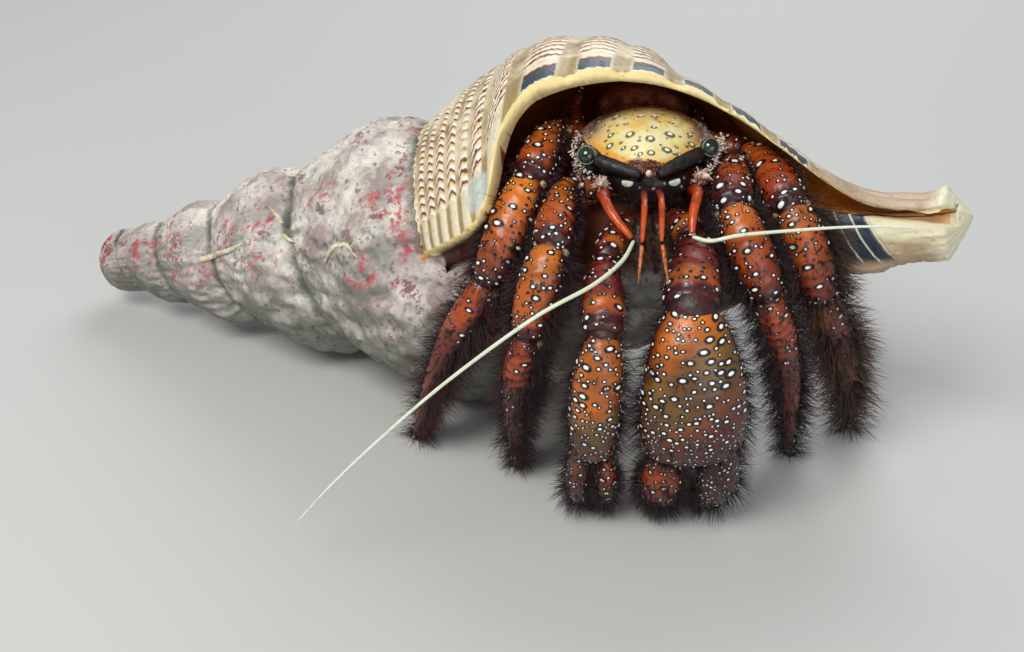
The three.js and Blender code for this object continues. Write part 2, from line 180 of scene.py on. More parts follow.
def seat(piece, slotName, *nodes):
    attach(piece, "root")
    if nodes:
        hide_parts(*nodes)


def finish(piece, material, slotName, *nodes):
    dress(piece, material)
    seat(piece, slotName, *nodes)


# Joins pieces into the first one of them.
def joined(pieces, name):
    deselect()
    for piece in pieces:
        piece.select_set(True)
    bpy.context.view_layer.objects.active = pieces[0]
    if len(pieces) > 1:
        bpy.ops.object.join()
    pieces[0].name = name
    pieces[0].data.name = name
    return pieces[0]


# Material tools.

def newMaterial(name, roughness=0.4, **plain):
    material = bpy.data.materials.new(name)
    material.use_nodes = True
    tree = material.node_tree
    shader = tree.nodes["Principled BSDF"]
    shader.inputs["Roughness"].default_value = roughness
    for socket, value in plain.items():
        shader.inputs[socket.replace("_", " ")].default_value = value
    return material, tree, shader


def node(tree, kind, links=(), **settings):
    made = tree.nodes.new(kind)
    for key, value in settings.items():
        setattr(made, key, value)
    for socket, value in links:
        if isinstance(value, bpy.types.NodeSocket):
            tree.links.new(value, made.inputs[socket])
        else:
            made.inputs[socket].default_value = value
    return made


def attribute(tree, name):
    return node(tree, "ShaderNodeAttribute", attribute_name=name)


# The three numbers of a vector attribute.
def parted(tree, name):
    vector = attribute(tree, name).outputs["Vector"]
    return node(tree, "ShaderNodeSeparateXYZ", [(0, vector)]).outputs


def maths(tree, operation, a, b=0.0, c=0.0):
    return node(tree, "ShaderNodeMath", [(0, a), (1, b), (2, c)], operation=operation).outputs[0]


def times(tree, a, b):
    return maths(tree, "MULTIPLY", a, b)


def inverse(tree, value):
    return maths(tree, "SUBTRACT", 1, value)


def stepped(tree, value, low, high):
    return node(tree, "ShaderNodeMapRange", [(0, value), (1, low), (2, high)],
                interpolation_type="SMOOTHSTEP").outputs[0]


# A colour's numbers with an alpha of 1; anything else as it is.
def opaque(value):
    return (*value, 1) if isinstance(value, tuple) else value


def mixed(tree, share, a, b, blend="MIX"):
    return node(tree, "ShaderNodeMix", [(0, share), (6, opaque(a)), (7, opaque(b))], data_type="RGBA",
                blend_type=blend).outputs[2]


def grain(tree, scale, detail=4.0, rough=0.55, distortion=0.0):
    place = node(tree, "ShaderNodeTexCoord").outputs["Object"]
    return node(tree, "ShaderNodeTexNoise", [("Vector", place), ("Scale", scale), ("Detail", detail),
                ("Roughness", rough), ("Distortion", distortion)]).outputs["Fac"]


# Patches of noise with soft edges, from 0 to 1.
def blotches(tree, low, high, *noise):
    return stepped(tree, grain(tree, *noise), low, high)


# Two colours mingled by noise.
def mottled(tree, a, b, *noise):
    return mixed(tree, grain(tree, *noise), a, b)


# A value shaken by noise times an amount.
def shaken(tree, value, amount, *noise):
    return maths(tree, "MULTIPLY_ADD", grain(tree, *noise), amount, value)


# A colour laid over another one as far as a mask times a strength says.
def laid(tree, under, over, mask, strength):
    return mixed(tree, times(tree, mask, strength), under, over)


# How far a place is from the middle of its cell.
def cells(tree, scale):
    place = node(tree, "ShaderNodeTexCoord").outputs["Object"]
    return node(tree, "ShaderNodeTexVoronoi", [("Vector", place), ("Scale", scale)]).outputs["Distance"]


def coloured(tree, shader, colour):
    tree.links.new(colour, shader.inputs["Base Color"])


def bumped(tree, shader, height, strength, distance):
    made = node(tree, "ShaderNodeBump", [("Height", height), ("Strength", strength), ("Distance", distance)])
    tree.links.new(made.outputs[0], shader.inputs["Normal"])


# A shader node group: build(tree, inputs) gives the values of its outputs by name.
def shaderGroup(name, inputs, outputs, build):
    group = bpy.data.node_groups.new(name, "ShaderNodeTree")
    for label, kind, value in inputs:
        group.interface.new_socket(label, in_out="INPUT", socket_type=kind).default_value = value
    for label, kind in outputs:
        group.interface.new_socket(label, in_out="OUTPUT", socket_type=kind)
    enter = group.nodes.new("NodeGroupInput")
    leave = group.nodes.new("NodeGroupOutput")
    for label, value in build(group, enter.outputs).items():
        group.links.new(value, leave.inputs[label])
    return group


def grouped(tree, group, links):
    links = [(label, opaque(value)) for label, value in links.items()]
    return node(tree, "ShaderNodeGroup", links, node_tree=group).outputs


# Fine grain in a material's roughness and bump, with more height where some is given.
def grained(tree, shader, scale, low, high, strength, distance, more=None):
    fine = grouped(tree, grainGroup, {"Scale": scale, "Low": low, "High": high})
    tree.links.new(fine["Roughness"], shader.inputs["Roughness"])
    height = fine["Height"] if more is None else maths(tree, "MULTIPLY_ADD", more, 0.4, fine["Height"])
    bumped(tree, shader, height, strength, distance)


# White spots ringed in black, with small dark dots between them.
def buildSpots(tree, given):
    points = cells(tree, given["Dot Scale"])
    dots = inverse(tree, stepped(tree, points, 0.12, 0.2))
    colour = mixed(tree, times(tree, dots, given["Dots"]), given["Base"], given["Ring"])
    ring = inverse(tree, stepped(tree, given["Near"], 1.6, 2.25))
    colour = mixed(tree, ring, colour, given["Ring"])
    white = inverse(tree, stepped(tree, given["Near"], 0.74, 1.0))
    colour = mixed(tree, white, colour, given["Spot"])
    return {"Colour": colour, "Dots": dots}


# Fine uneven grain, as a roughness between two values and a height.
def buildGrain(tree, given):
    fine = grain(tree, given["Scale"], 5, 0.62)
    rough = node(tree, "ShaderNodeMapRange", [(0, fine), (1, 0.3), (2, 0.7), (3, given["Low"]),
                                              (4, given["High"])])
    return {"Roughness": rough.outputs[0], "Height": fine}


spotGroup = shaderGroup(
    "ringedSpots",
    [("Base", "NodeSocketColor", (0.5, 0.2, 0.1, 1)), ("Near", "NodeSocketFloat", 4.0),
     ("Spot", "NodeSocketColor", (0.9, 0.9, 0.84, 1)), ("Ring", "NodeSocketColor", (0.004, 0.002, 0.006, 1)),
     ("Dots", "NodeSocketFloat", 0.8), ("Dot Scale", "NodeSocketFloat", 520.0)],
    [("Colour", "NodeSocketColor"), ("Dots", "NodeSocketFloat")], buildSpots)
grainGroup = shaderGroup(
    "fineGrain",
    [("Scale", "NodeSocketFloat", 500.0), ("Low", "NodeSocketFloat", 0.2), ("High", "NodeSocketFloat", 0.5)],
    [("Roughness", "NodeSocketFloat"), ("Height", "NodeSocketFloat")], buildGrain)


# Camera and light.

view = {
    "from": (-9.3, -386.4, 245.0),
    "to": (-9.3, 0.0, 21.9),
    "lens": 50,
}


def addCamera():
    start = Vector(view["from"]) + Vector(toFrame)
    end = Vector(view["to"]) + Vector(toFrame)
    bpy.ops.object.camera_add(location=start * mm, rotation=(end - start).to_track_quat("-Z", "Y").to_euler())
    camera = bpy.context.object
    camera.data.lens = view["lens"]
    camera.data.sensor_width = 36
    camera.data.clip_start = 0.01
    scene.camera = camera


lamps = {
    "key": {"at": (-0.4, -0.6, 0.95), "size": 0.55, "power": 12.0, "colour": (1, 0.97, 0.92)},
    "fill": {"at": (0.45, -1.0, 0.3), "size": 0.7, "power": 3.2, "colour": (0.94, 0.98, 1)},
    "back": {"at": (0.25, 0.85, 0.8), "size": 0.8, "power": 7.0, "colour": (1, 1, 1)},
}


def addLights():
    for name, lamp in lamps.items():
        turn = (Vector((0, 0, 0.05)) - Vector(lamp["at"])).to_track_quat("-Z", "Y").to_euler()
        bpy.ops.object.light_add(type="AREA", location=lamp["at"], rotation=turn)
        light = bpy.context.object
        light.name = name
        light.data.size = lamp["size"]
        light.data.energy = lamp["power"]
        light.data.color = lamp["colour"]
    world = bpy.data.worlds.new("studio")
    world.use_nodes = True
    world.node_tree.nodes["Background"].inputs["Color"].default_value = (0.9, 0.94, 1, 1)
    world.node_tree.nodes["Background"].inputs["Strength"].default_value = 0.3
    scene.world = world
    scene.view_settings.view_transform = "Standard"


def addFloor():
    deselect()
    bpy.ops.mesh.primitive_plane_add(size=6)
    floor = bpy.context.object
    floor.name = "floor"
    dress(floor, newMaterial("paleFloor", 0.75, Base_Color=(0.5, 0.51, 0.5, 1))[0])


# The shell.

shell = {
    "yaw": 20.8, "tilt": 13.0,               # degrees the apex swings back, and the axis climbs
    "station": 200.0, "point": (0, 0, 52.3),   # a place on the axis, and where it lies
    "growth": 1.4, "girthPower": 1.13,
    "wornApex": 34.0, "wornRadius": 10.8, "canalTip": 325.0, "canalTaper": 6.5,
    "baseStart": 8.9, "wall": 3.4, "cavityTurns": 0.8, "slit": 0.085,
    "cavityPole": (235, 32, 30),             # station, radius and degrees where the hollow closes
    "outerShare": 0.62,                      # of the hollow's outline, the part along the outer lip
    "rimFrom": 179.5, "mouthFrom": 150,      # stations where the lip's rim and the lining start
    "ribs": (0.0, -0.62, -1.27, -1.9, -2.6, -3.3), "ribWidth": 0.016,     # old lips, by age in whorls
    "endRidge": 318.5, "crowding": 1.25,     # a ridge near the canal's end; columns closer at the lip
    "seamHalf": 6.5,                         # mm of darker colour on each side of a seam
    "ridgeSlant": -0.42, "ridgePitch": 0.043,    # of the pale ridges on the inner lip
    "rows": 360, "columns": 238,
    "crescents": 104,                        # marks round one whorl
    "shoulder": 42.0,                        # mm across the whorl where the broad cords start
    "fineCord": 5.2, "broadCord": 14.2,      # mm from cord to cord
    "worn": (-18, -42, 87), "wornReach": 7.5,    # where the lip's outside is rubbed pale
}
# Station, radius and degrees from the top along the lip; loss of girth behind it; the inner lip.
lipRows = [
    [178, 39, 71], [190, 48, 68], [202, 54.5, 64], [208, 57.5, 59],
    [211, 59.5, 49], [212, 60.5, 38], [216, 61.5, 29], [225, 61.5, 24],
    [238, 59, 20], [251, 52.5, 16], [264, 44, 16], [277, 35, 23],
    [289, 26.5, 37], [300, 18.5, 52], [312, 12, 58], [325, 9.6, 43],
]
flareRows = [[238, 0], [250, 0.09], [270, 0.24], [287, 0.36], [302, 0.46], [312, 0.34], [325, 0.1]]
innerLip = [[318, 4.5], [306, 6], [292, 9], [272, 11.5], [248, 12.5], [226, 13.5], [210, 17], [198, 24],
            [188, 32]]

lip = refined(lipRows, 5, 5)
lipIndex = np.linspace(0, len(lipRows) - 1, len(lip))
lipAcross = np.concatenate([[0], np.cumsum(np.hypot(np.diff(lip[:, 0]), np.diff(lip[:, 1])))])
yaw, tilt = math.radians(shell["yaw"]), math.radians(shell["tilt"])
shellAxis = np.array([math.cos(yaw) * math.cos(tilt), -math.sin(yaw) * math.cos(tilt), math.sin(tilt)])
shellTop = unit(np.array([0, 0, 1.0]) - shellAxis * shellAxis[2])
shellFront = np.cross(shellAxis, shellTop)


def shellPoint(station, radius, angle):
    turn = np.radians(angle)
    return (np.array(shell["point"]) + np.multiply.outer(station - shell["station"], shellAxis)
            + np.multiply.outer(radius * np.cos(turn), shellTop)
            + np.multiply.outer(radius * np.sin(turn), shellFront))


# Station, radius and degrees from the top of points in space.
def shellPlace(points):
    local = points - np.array(shell["point"])
    up, ahead = local @ shellTop, local @ shellFront
    return local @ shellAxis + shell["station"], np.hypot(up, ahead), np.degrees(np.arctan2(ahead, up))


# The lip flares out, so the base is slimmer just behind it.
def flare(station, back):
    loss = np.interp(station, *np.array(flareRows).T)
    return 1 - loss * smoothstep(0.0, 0.11, back) * (1 - smoothstep(0.55, 0.75, back))


# Share of the radius left on the pointed end of the canal.
def canalPoint(station):
    return np.clip((shell["canalTip"] - station) / shell["canalTaper"], 0, 1) ** 0.8


def lipAngle(station):
    return np.interp(station, lip[:, 0], lip[:, 2])


# The outermost whorl at each place: its radius, its age in whorls and the way across it in mm.
def whorls(station, angle):
    radius = np.zeros_like(station)
    age = np.full_like(station, -1.0)
    across = np.zeros_like(station)
    whorl = np.ones_like(station)
    for turn in range(1, 8):
        before = None
        for row, index, reach in zip(lip, lipIndex, lipAcross):
            if turn > 1 and index > shell["baseStart"] + 2:
                break
            turns = (angle - row[2]) / 360 - turn
            length = shell["growth"] ** turns
            girth = length ** shell["girthPower"]
            pin = smoothstep(shell["baseStart"], len(lipRows) - 1, index)
            here = (row[0] * (length + (1 - length) * pin), row[1] * (girth + (1 - girth) * pin), reach)
            if before is not None:
                share = (station - before[0]) / np.maximum(here[0] - before[0], 1e-6)
                out = before[1] + (here[1] - before[1]) * share
                take = (share >= 0) & (share <= 1) & (out > radius)
                radius[take] = out[take]
                age[take] = turns[take]
                across[take] = (before[2] + (here[2] - before[2]) * share)[take]
                whorl[take] = turn
            before = here
    return radius, age, across, whorl


# How high a spiral cord stands at a place across the whorl, 0 in a groove and 1 on top.
def cordHeight(across):
    fine = 0.5 - 0.5 * np.cos(fullTurn * across / shell["fineCord"])
    broad = 0.5 - 0.5 * np.cos(fullTurn * (across - shell["shoulder"]) / shell["broadCord"])
    return np.where(across < shell["shoulder"], fine ** 0.7, broad ** 0.5)


# Height of the relief over the plain whorl, in mm.
def relief(station, angle, age, across, whorl):
    flat = shellPoint(station, np.full_like(station, 40.0), angle)
    growthSize = np.clip(station / 230, 0.2, 1)
    cord = cordHeight(across)
    broad = across > shell["shoulder"]
    beads = 0.5 + 0.5 * np.cos(fullTurn * (age * shell["crescents"] + 0.3 * cord))
    fresh = (whorl == 1) * smoothstep(-0.8, -0.5, age)
    height = np.where(broad, 1.0, 0.75) * cord + np.where(broad, 0.22, 0.45) * beads * cord
    height = height * (0.35 + 0.65 * fresh)
    canalward = smoothstep(265, 300, station)
    height = height * (1 - 0.75 * canalward)
    for rib in shell["ribs"]:
        height = height + hill(age, rib - 0.006, shell["ribWidth"]) * (1.4 if rib else 0.9)
    crust = (1 - fresh) * (0.8 * ripple(flat, 17, 3) + 0.42 * ripple(flat, 7, 4) + 0.3 * ripple(flat, 3.6, 5))
    lumps = smoothstep(0.7, 1.6, ripple(flat, 9, 6)) * 1.1 * (1 - fresh)
    rough = smoothstep(34, 60, station)
    return (height + (crust + lumps) * (0.5 + 0.5 * rough)) * growthSize - 0.7 * growthSize


def shellBody(share, turn):
    station = shell["wornApex"] + (shell["canalTip"] - shell["wornApex"]) * share
    count = shell["columns"]
    step = turn * count / (count - 1)
    around = 1 - (1 - step) ** shell["crowding"]
    edge = np.where(step == 0, 1.5 / 360, 0)
    angle = lipAngle(station) + 360 * (around + edge)
    radius, age, across, whorl = whorls(station, np.minimum(angle, lipAngle(station) + 360))
    radius = np.where(station < 90, np.maximum(radius, shell["wornRadius"]), radius)
    radius = radius * flare(station, 1 - around)
    rise = relief(station, angle, age, across, whorl)
    tip = np.clip((station - shell["wornApex"]) / 9, 0, 1)
    canal = canalPoint(station)
    rounding = np.sqrt(tip * (2 - tip)) * canal
    lipEdge = smoothstep(0.9965, 1.0, around) * 1.1 * smoothstep(176, 184, station)
    callus = smoothstep(0.0, 0.02, around) * (1 - smoothstep(0.2, 0.3, around))
    callus = callus * smoothstep(190, 205, station)
    radius = np.maximum(radius + rise * (1 - 0.8 * callus) - lipEdge, 2) * rounding
    radius = radius + 1.1 * hill(station, shell["endRidge"], 2.6) * canal * (around > 0.62)
    return shellPoint(station, radius, angle)


def shellCavity(share, turn):
    outline = [[min(row[0] + 3, 326), row[1] - shell["wall"], row[2]] for row in lipRows]
    outline += [[row[0], row[1], float(lipAngle(row[0]))] for row in innerLip]
    closed = np.array(outline + outline[:1])
    column = turn * len(outline)
    fine = [np.interp(column, np.arange(len(closed)), closed[:, k]) for k in range(3)]
    pole = (share == 0) | (share == 1)
    station, radius, angle = (np.where(pole, *pair) for pair in zip(shell["cavityPole"], fine))
    late = np.clip((station - 262) / 60, 0, 1)
    opening = 0.035 + shell["slit"] * late
    turns = opening + (-shell["cavityTurns"] - opening) * share
    length = shell["growth"] ** np.minimum(turns, 0)
    pull = station * length + (station - station * length) * late * 0.4
    narrow = np.where((pull > 262) & (turns < 0), np.maximum(0.35, 1 + turns * late * 2.2), 1)
    girth = length ** shell["girthPower"] * narrow * flare(pull, np.maximum(-turns, 0))
    outer = turn < shell["outerShare"]
    radius = radius + (shell["wall"] + 2.0) * smoothstep(0.62, 0.85, late) * (turns > 0) * outer
    cordWave = 0.35 * cordHeight(np.interp(station, lip[:, 0], lipAcross)) * outer
    return shellPoint(pull, np.maximum(radius + cordWave, 1) * girth, angle + 360 * turns)


def addShell():
    body = ballNet("triton_shell", shell["rows"], shell["columns"], shellBody)[0]
    hollow = ballNet("hollow", 80, 125, shellCavity)[0]
    deselect()
    body.select_set(True)
    bpy.context.view_layer.objects.active = body
    cut = body.modifiers.new("mouth", "BOOLEAN")
    cut.operation = "DIFFERENCE"
    cut.object = hollow
    cut.solver = "MANIFOLD"
    bpy.ops.object.modifier_apply(modifier="mouth")
    bpy.data.objects.remove(hollow)
    dress(body, shellMaterial(), liningMaterial(), rimMaterial())
    onFloor(body)
    points, normals = getPoints(body.data), vertexNormals(body.data)
    station, radius, angle = shellPlace(points)
    around = (angle - lipAngle(station)) / 360 % 1
    outer, age, across, whorl = whorls(station, lipAngle(station) + 360 * around)
    outer = outer * flare(station, 1 - around) * canalPoint(station)
    spoke = points - np.array(shell["point"])
    spoke = unit(spoke - np.outer(spoke @ shellAxis, shellAxis))
    facingIn = (dot(spoke, normals) < -0.2) & (radius < outer - 0.4)
    inside = ((radius < outer - 1.9) | facingIn) & (station > shell["mouthFrom"]) & (whorl == 1)
    fresh = (whorl == 1) * smoothstep(-0.8, -0.5, age)
    paint(body.data, "growth", np.stack([age, across, fresh], 1))
    paint(body.data, "place", np.stack([station / 100, around, normals[:, 2]], 1))
    paint(body.data, "inward", outer - radius)
    edge = np.minimum(across - 4, np.where(whorl > 1, 71 - across, 99))
    paint(body.data, "seam", hill(np.clip(edge, 0, 40), 0, shell["seamHalf"]))
    sizes = fetched(body.data.polygons, "loop_total", 1, int)
    corners = fetched(body.data.loops, "vertex_index", 1, int)
    owner = np.repeat(np.arange(len(sizes)), sizes)

    def faceMean(values):                    # the mean over the corners of each face
        return np.bincount(owner, values[corners]) / sizes

    within = faceMean(inside)
    rim = (faceMean(around > 0.95) > 0) & (faceMean(around < 0.05) > 0)
    rim |= (faceMean(around) < 0.0045) & (within < 1)
    rim &= (faceMean((around > 0.1) & (around < 0.9)) == 0) & (faceMean(station) > shell["rimFrom"])
    slots = np.where(within > 0.5, 1, 0)
    slots[rim] = 2
    body.data.polygons.foreach_set("material_index", slots)
    smoothed(body.data)
    return body


# Crescents on the cords, the chalky crust and its pink growths, darker seams, and a grey-green underside that
# is algae and painted shade together.
def shellMaterial():
    material, tree, shader = newMaterial("shellOutside", 0.6)
    age, across, fresh = parted(tree, "growth")
    station, around, sky = parted(tree, "place")

    def cordCurve(start, pitch):
        angle = times(tree, maths(tree, "SUBTRACT", across, start), fullTurn / pitch)
        return maths(tree, "MULTIPLY_ADD", maths(tree, "COSINE", angle), -0.5, 0.5)

    fine = cordCurve(0, shell["fineCord"])
    broad = cordCurve(shell["shoulder"], shell["broadCord"])
    isBroad = maths(tree, "GREATER_THAN", across, shell["shoulder"])
    cord = node(tree, "ShaderNodeMix", [(0, isBroad), (2, fine), (3, broad)]).outputs[0]
    wander = grain(tree, 60, 2)
    phase = times(tree, age, shell["crescents"])
    phase = maths(tree, "ADD", phase, times(tree, cord, 0.42))
    phase = maths(tree, "ADD", phase, times(tree, wander, 0.8))
    wave = maths(tree, "FRACT", phase)
    band = node(tree, "ShaderNodeValToRGB", [(0, wave)])
    band.color_ramp.elements[0].color = (0.78, 0.66, 0.42, 1)
    band.color_ramp.elements[1].color = (0.8, 0.67, 0.4, 1)
    for position, colour in ((0.2, (0.86, 0.83, 0.76)), (0.42, (0.84, 0.8, 0.72)), (0.52, (0.2, 0.07, 0.08)),
                             (0.7, (0.1, 0.035, 0.05)), (0.79, (0.66, 0.42, 0.14))):
        stop = band.color_ramp.elements.new(position)
        stop.color = (*colour, 1)
    gap = mixed(tree, blotches(tree, 0.35, 0.6, 90), (0.3, 0.21, 0.09), (0.66, 0.56, 0.36))
    onCord = stepped(tree, cord, 0.12, 0.4)
    marked = mixed(tree, onCord, gap, band.outputs[0])
    plain = blotches(tree, 0.54, 0.66, 38, 3)
    marked = laid(tree, marked, (0.8, 0.72, 0.52), plain, 0.75)
    lipBand = stepped(tree, age, -0.034, -0.029)
    square = times(tree, stepped(tree, broad, 0.3, 0.42), stepped(tree, age, -0.0245, -0.021))
    square = times(tree, square, inverse(tree, stepped(tree, age, -0.0055, -0.004)))
    square = times(tree, square, isBroad)
    dark = mixed(tree, stepped(tree, age, -0.019, -0.013), (0.1, 0.035, 0.03), (0.03, 0.06, 0.085))
    beige = mixed(tree, stepped(tree, cord, 0.1, 0.5), (0.34, 0.25, 0.11), (0.74, 0.66, 0.48))
    varix = mixed(tree, square, beige, dark)
    marked = mixed(tree, lipBand, marked, varix)
    centre = tuple((np.array(shell["worn"]) + toFrame) * mm)
    here = node(tree, "ShaderNodeTexCoord").outputs["Object"]
    away = node(tree, "ShaderNodeVectorMath", [(0, here), (1, centre)], operation="DISTANCE").outputs["Value"]
    away = shaken(tree, away, 0.007, 120, 4)
    reach = shell["wornReach"] * mm
    worn = inverse(tree, stepped(tree, away, reach, reach + 0.0025))
    milky = mottled(tree, (0.36, 0.44, 0.4), (0.62, 0.68, 0.62), 140, 4)
    marked = laid(tree, marked, milky, worn, 0.85)
    marked = mixed(tree, stepped(tree, age, -0.0034, -0.0018), marked, (0.8, 0.62, 0.26))

    chalk = mixed(tree, blotches(tree, 0.36, 0.6, 75, 6, 0.72), (0.36, 0.29, 0.27), (0.84, 0.81, 0.73))
    mauve = times(tree, blotches(tree, 0.46, 0.62, 34, 5, 0.7), 0.5)
    chalk = mixed(tree, mauve, chalk, (0.44, 0.31, 0.36))
    cool = times(tree, blotches(tree, 0.52, 0.64, 27, 6, 0.72), 0.65)
    chalk = mixed(tree, cool, chalk, (0.27, 0.31, 0.27))
    pinkPatch = blotches(tree, 0.51, 0.62, 30, 7, 0.78, 0.4)
    pinkPatch = times(tree, pinkPatch, stepped(tree, sky, -0.35, 0.35))
    speck = blotches(tree, 0.42, 0.56, 260, 3, 0.7)
    pink = mottled(tree, (0.36, 0.02, 0.035), (0.6, 0.13, 0.15), 120, 3)
    crust = mixed(tree, times(tree, pinkPatch, speck), chalk, pink)
    purple = times(tree, blotches(tree, 0.56, 0.63, 150, 5, 0.75), stepped(tree, sky, -0.5, 0.2))
    crust = laid(tree, crust, (0.2, 0.035, 0.07), purple, 0.8)
    # The seams between whorls are painted darker, a dark olive along each seam.
    seam = shaken(tree, attribute(tree, "seam").outputs["Fac"], 1.9, 70, 6, 0.75)
    seam = stepped(tree, seam, 1.45, 2.1)
    darkSeam = mixed(tree, blotches(tree, 0.4, 0.6, 130, 4), (0.035, 0.042, 0.026), (0.14, 0.17, 0.13))
    crust = laid(tree, crust, darkSeam, seam, 0.9)
    # Painted shade: faces that turn down are darkened to grey-green, algae and painted shade together.
    shade = shaken(tree, sky, 0.8, 40, 5, 0.7)
    under = inverse(tree, stepped(tree, shade, 0.0, 0.95))
    algaeAndShade = mottled(tree, (0.035, 0.045, 0.035), (0.26, 0.28, 0.22), 150, 5, 0.7)
    crust = laid(tree, crust, algaeAndShade, under, 0.8)
    pits = stepped(tree, cells(tree, 330), 0.1, 0.3)
    crust = mixed(tree, 0.45, crust, mixed(tree, pits, (0.2, 0.16, 0.15), (1, 1, 1)), "MULTIPLY")

    ragged = shaken(tree, fresh, 0.9, 45, 5, 0.7)
    isFresh = maths(tree, "MAXIMUM", stepped(tree, ragged, 0.92, 1.08), stepped(tree, station, 2.7, 2.84))
    tan = mottled(tree, (0.3, 0.2, 0.11), (0.56, 0.42, 0.26), 260, 3, 0.6)
    marked = mixed(tree, stepped(tree, station, 2.86, 2.93), marked, tan)
    pale = mottled(tree, (0.6, 0.56, 0.38), (0.82, 0.8, 0.64), 200, 3)
    marked = mixed(tree, stepped(tree, station, 3.13, 3.18), marked, pale)
    outside = mixed(tree, isFresh, crust, marked)

    low = times(tree, stepped(tree, around, 0.0, 0.015), inverse(tree, stepped(tree, around, 0.17, 0.21)))
    callus = times(tree, low, stepped(tree, station, 1.93, 2.03))
    slant = maths(tree, "MULTIPLY_ADD", around, shell["ridgeSlant"], station)
    ridge = maths(tree, "SINE", times(tree, slant, fullTurn / shell["ridgePitch"]))
    ridge = stepped(tree, ridge, 0.84, 0.97)
    nearCanal = stepped(tree, station, 2.5, 2.62)
    deep = mixed(tree, nearCanal, (0.14, 0.03, 0.012), (0.012, 0.016, 0.035))
    inner = mixed(tree, times(tree, ridge, nearCanal), deep, (0.5, 0.56, 0.42))
    cream = mottled(tree, (0.56, 0.5, 0.3), (0.8, 0.76, 0.55), 120, 4)
    lower = times(tree, stepped(tree, around, 0.085, 0.125), inverse(tree, stepped(tree, station, 3.1, 3.2)))
    cream = mixed(tree, lower, cream, tan)
    inner = mixed(tree, stepped(tree, slant, 2.965, 2.99), inner, cream)
    outside = mixed(tree, callus, outside, inner)
    coloured(tree, shader, outside)
    rough = node(tree, "ShaderNodeMix", [(0, isFresh), (2, 0.85), (3, 0.38)]).outputs[0]
    tree.links.new(rough, shader.inputs["Roughness"])
    height = times(tree, grain(tree, 420, 6, 0.75), maths(tree, "SUBTRACT", 1.25, isFresh))
    height = maths(tree, "ADD", height, times(tree, pits, 0.25))
    bumped(tree, shader, height, 0.8, 0.0011)
    return material


def liningMaterial():
    material, tree, shader = newMaterial("shellLining", 0.2, Coat_Weight=0.35, Coat_Roughness=0.12)
    station, around = parted(tree, "place")[:2]
    depth = inverse(tree, around)
    deep = mottled(tree, (0.3, 0.055, 0.008), (0.62, 0.19, 0.025), 55, 4, 0.6)
    orange = mottled(tree, (0.72, 0.24, 0.02), (0.85, 0.38, 0.06), 70, 4)
    deep = mixed(tree, stepped(tree, station, 2.5, 2.85), deep, (0.6, 0.16, 0.012))
    colour = mixed(tree, stepped(tree, depth, 0.05, 0.26), orange, deep)
    colour = mixed(tree, stepped(tree, depth, 0.003, 0.009), (0.8, 0.62, 0.26), colour)
    canal = stepped(tree, station, 2.9, 3.04)
    colour = laid(tree, colour, (0.8, 0.55, 0.3), canal, 0.7)
    coloured(tree, shader, colour)
    bumped(tree, shader, grain(tree, 140, 3), 0.25, 0.0008)
    return material


def rimMaterial():
    material, tree, shader = newMaterial("shellRim", 0.3)
    inward = shaken(tree, attribute(tree, "inward").outputs["Fac"], 1.2, 90, 4)
    cream = mottled(tree, (0.7, 0.5, 0.14), (0.84, 0.76, 0.5), 160, 4)
    orange = mottled(tree, (0.46, 0.13, 0.015), (0.66, 0.27, 0.05), 130, 4)
    colour = mixed(tree, stepped(tree, inward, 0.9, 1.7), cream, orange)
    brown = mottled(tree, (0.16, 0.03, 0.008), (0.34, 0.09, 0.016), 90, 4)
    colour = mixed(tree, stepped(tree, inward, 2.2, 3.6), colour, brown)
    coloured(tree, shader, colour)
    bumped(tree, shader, grain(tree, 300, 4), 0.3, 0.0006)
    return material


# Shapes along a curve.

# A smooth curve through points, with knots spaced by the root of their distance.
def curvePoints(points, share):
    points = np.array(points, float)
    last = len(points) - 1
    ends = np.vstack([2 * points[0] - points[1], points, 2 * points[-1] - points[-2]])
    place = np.clip(share, 0, 1) * last
    index = np.minimum(place.astype(int), last - 1)
    part = (place - index)[:, None]
    a, b, c, d = (ends[index + k] for k in range(4))
    before, here, after = (np.sqrt(np.linalg.norm(gap, axis=1))[:, None] for gap in (b - a, c - b, d - c))
    leave = ((b - a) / before - (c - a) / (before + here) + (c - b) / here) * here
    reach = ((c - b) / here - (d - b) / (here + after) + (d - c) / after) * here
    square, cube = 3 * (c - b) - 2 * leave - reach, 2 * (b - c) + leave + reach
    return b + leave * part + square * part ** 2 + cube * part ** 3


# One tapering length of a curve. at(length, turn, rise) gives points on its surface.
class Length:
    def __init__(self, points, start, end, girth, side=(1, 0, 0), blunt=0.09):
        self.points, self.start, self.end = points, start, end
        self.table = refined(girth, 5, 4)
        self.side, self.blunt = np.array(side, float), blunt
        self.ends = curvePoints(points, np.array([start, end]))
        steps = curvePoints(points, np.linspace(start, end, 30))
        self.reach = np.linalg.norm(np.diff(steps, axis=0), axis=1).sum()

    def at(self, length, turn, rise=0.0):
        at = self.start + (self.end - self.start) * length
        along = unit(curvePoints(self.points, at + 2e-3) - curvePoints(self.points, at - 2e-3))
        across = unit(self.side - along * (along @ self.side)[:, None])
        through = np.cross(along, across)
        rounding = np.maximum(np.sin(math.pi * length), 0) ** self.blunt * ((length > 0) & (length < 1))
        wide = (np.interp(length, self.table[:, 0], self.table[:, 1]) + rise) * rounding
        deep = (np.interp(length, self.table[:, 0], self.table[:, 2]) + rise) * rounding
        offset = across * (wide * np.cos(fullTurn * turn))[:, None]
        offset += through * (deep * np.sin(fullTurn * turn))[:, None]
        return curvePoints(self.points, at) + offset


plateRim = {"at": 0.93, "half": 0.035, "grooveAt": 0.86, "grooveHalf": 0.03, "scallops": 11}
foldsPerMm = 1.9


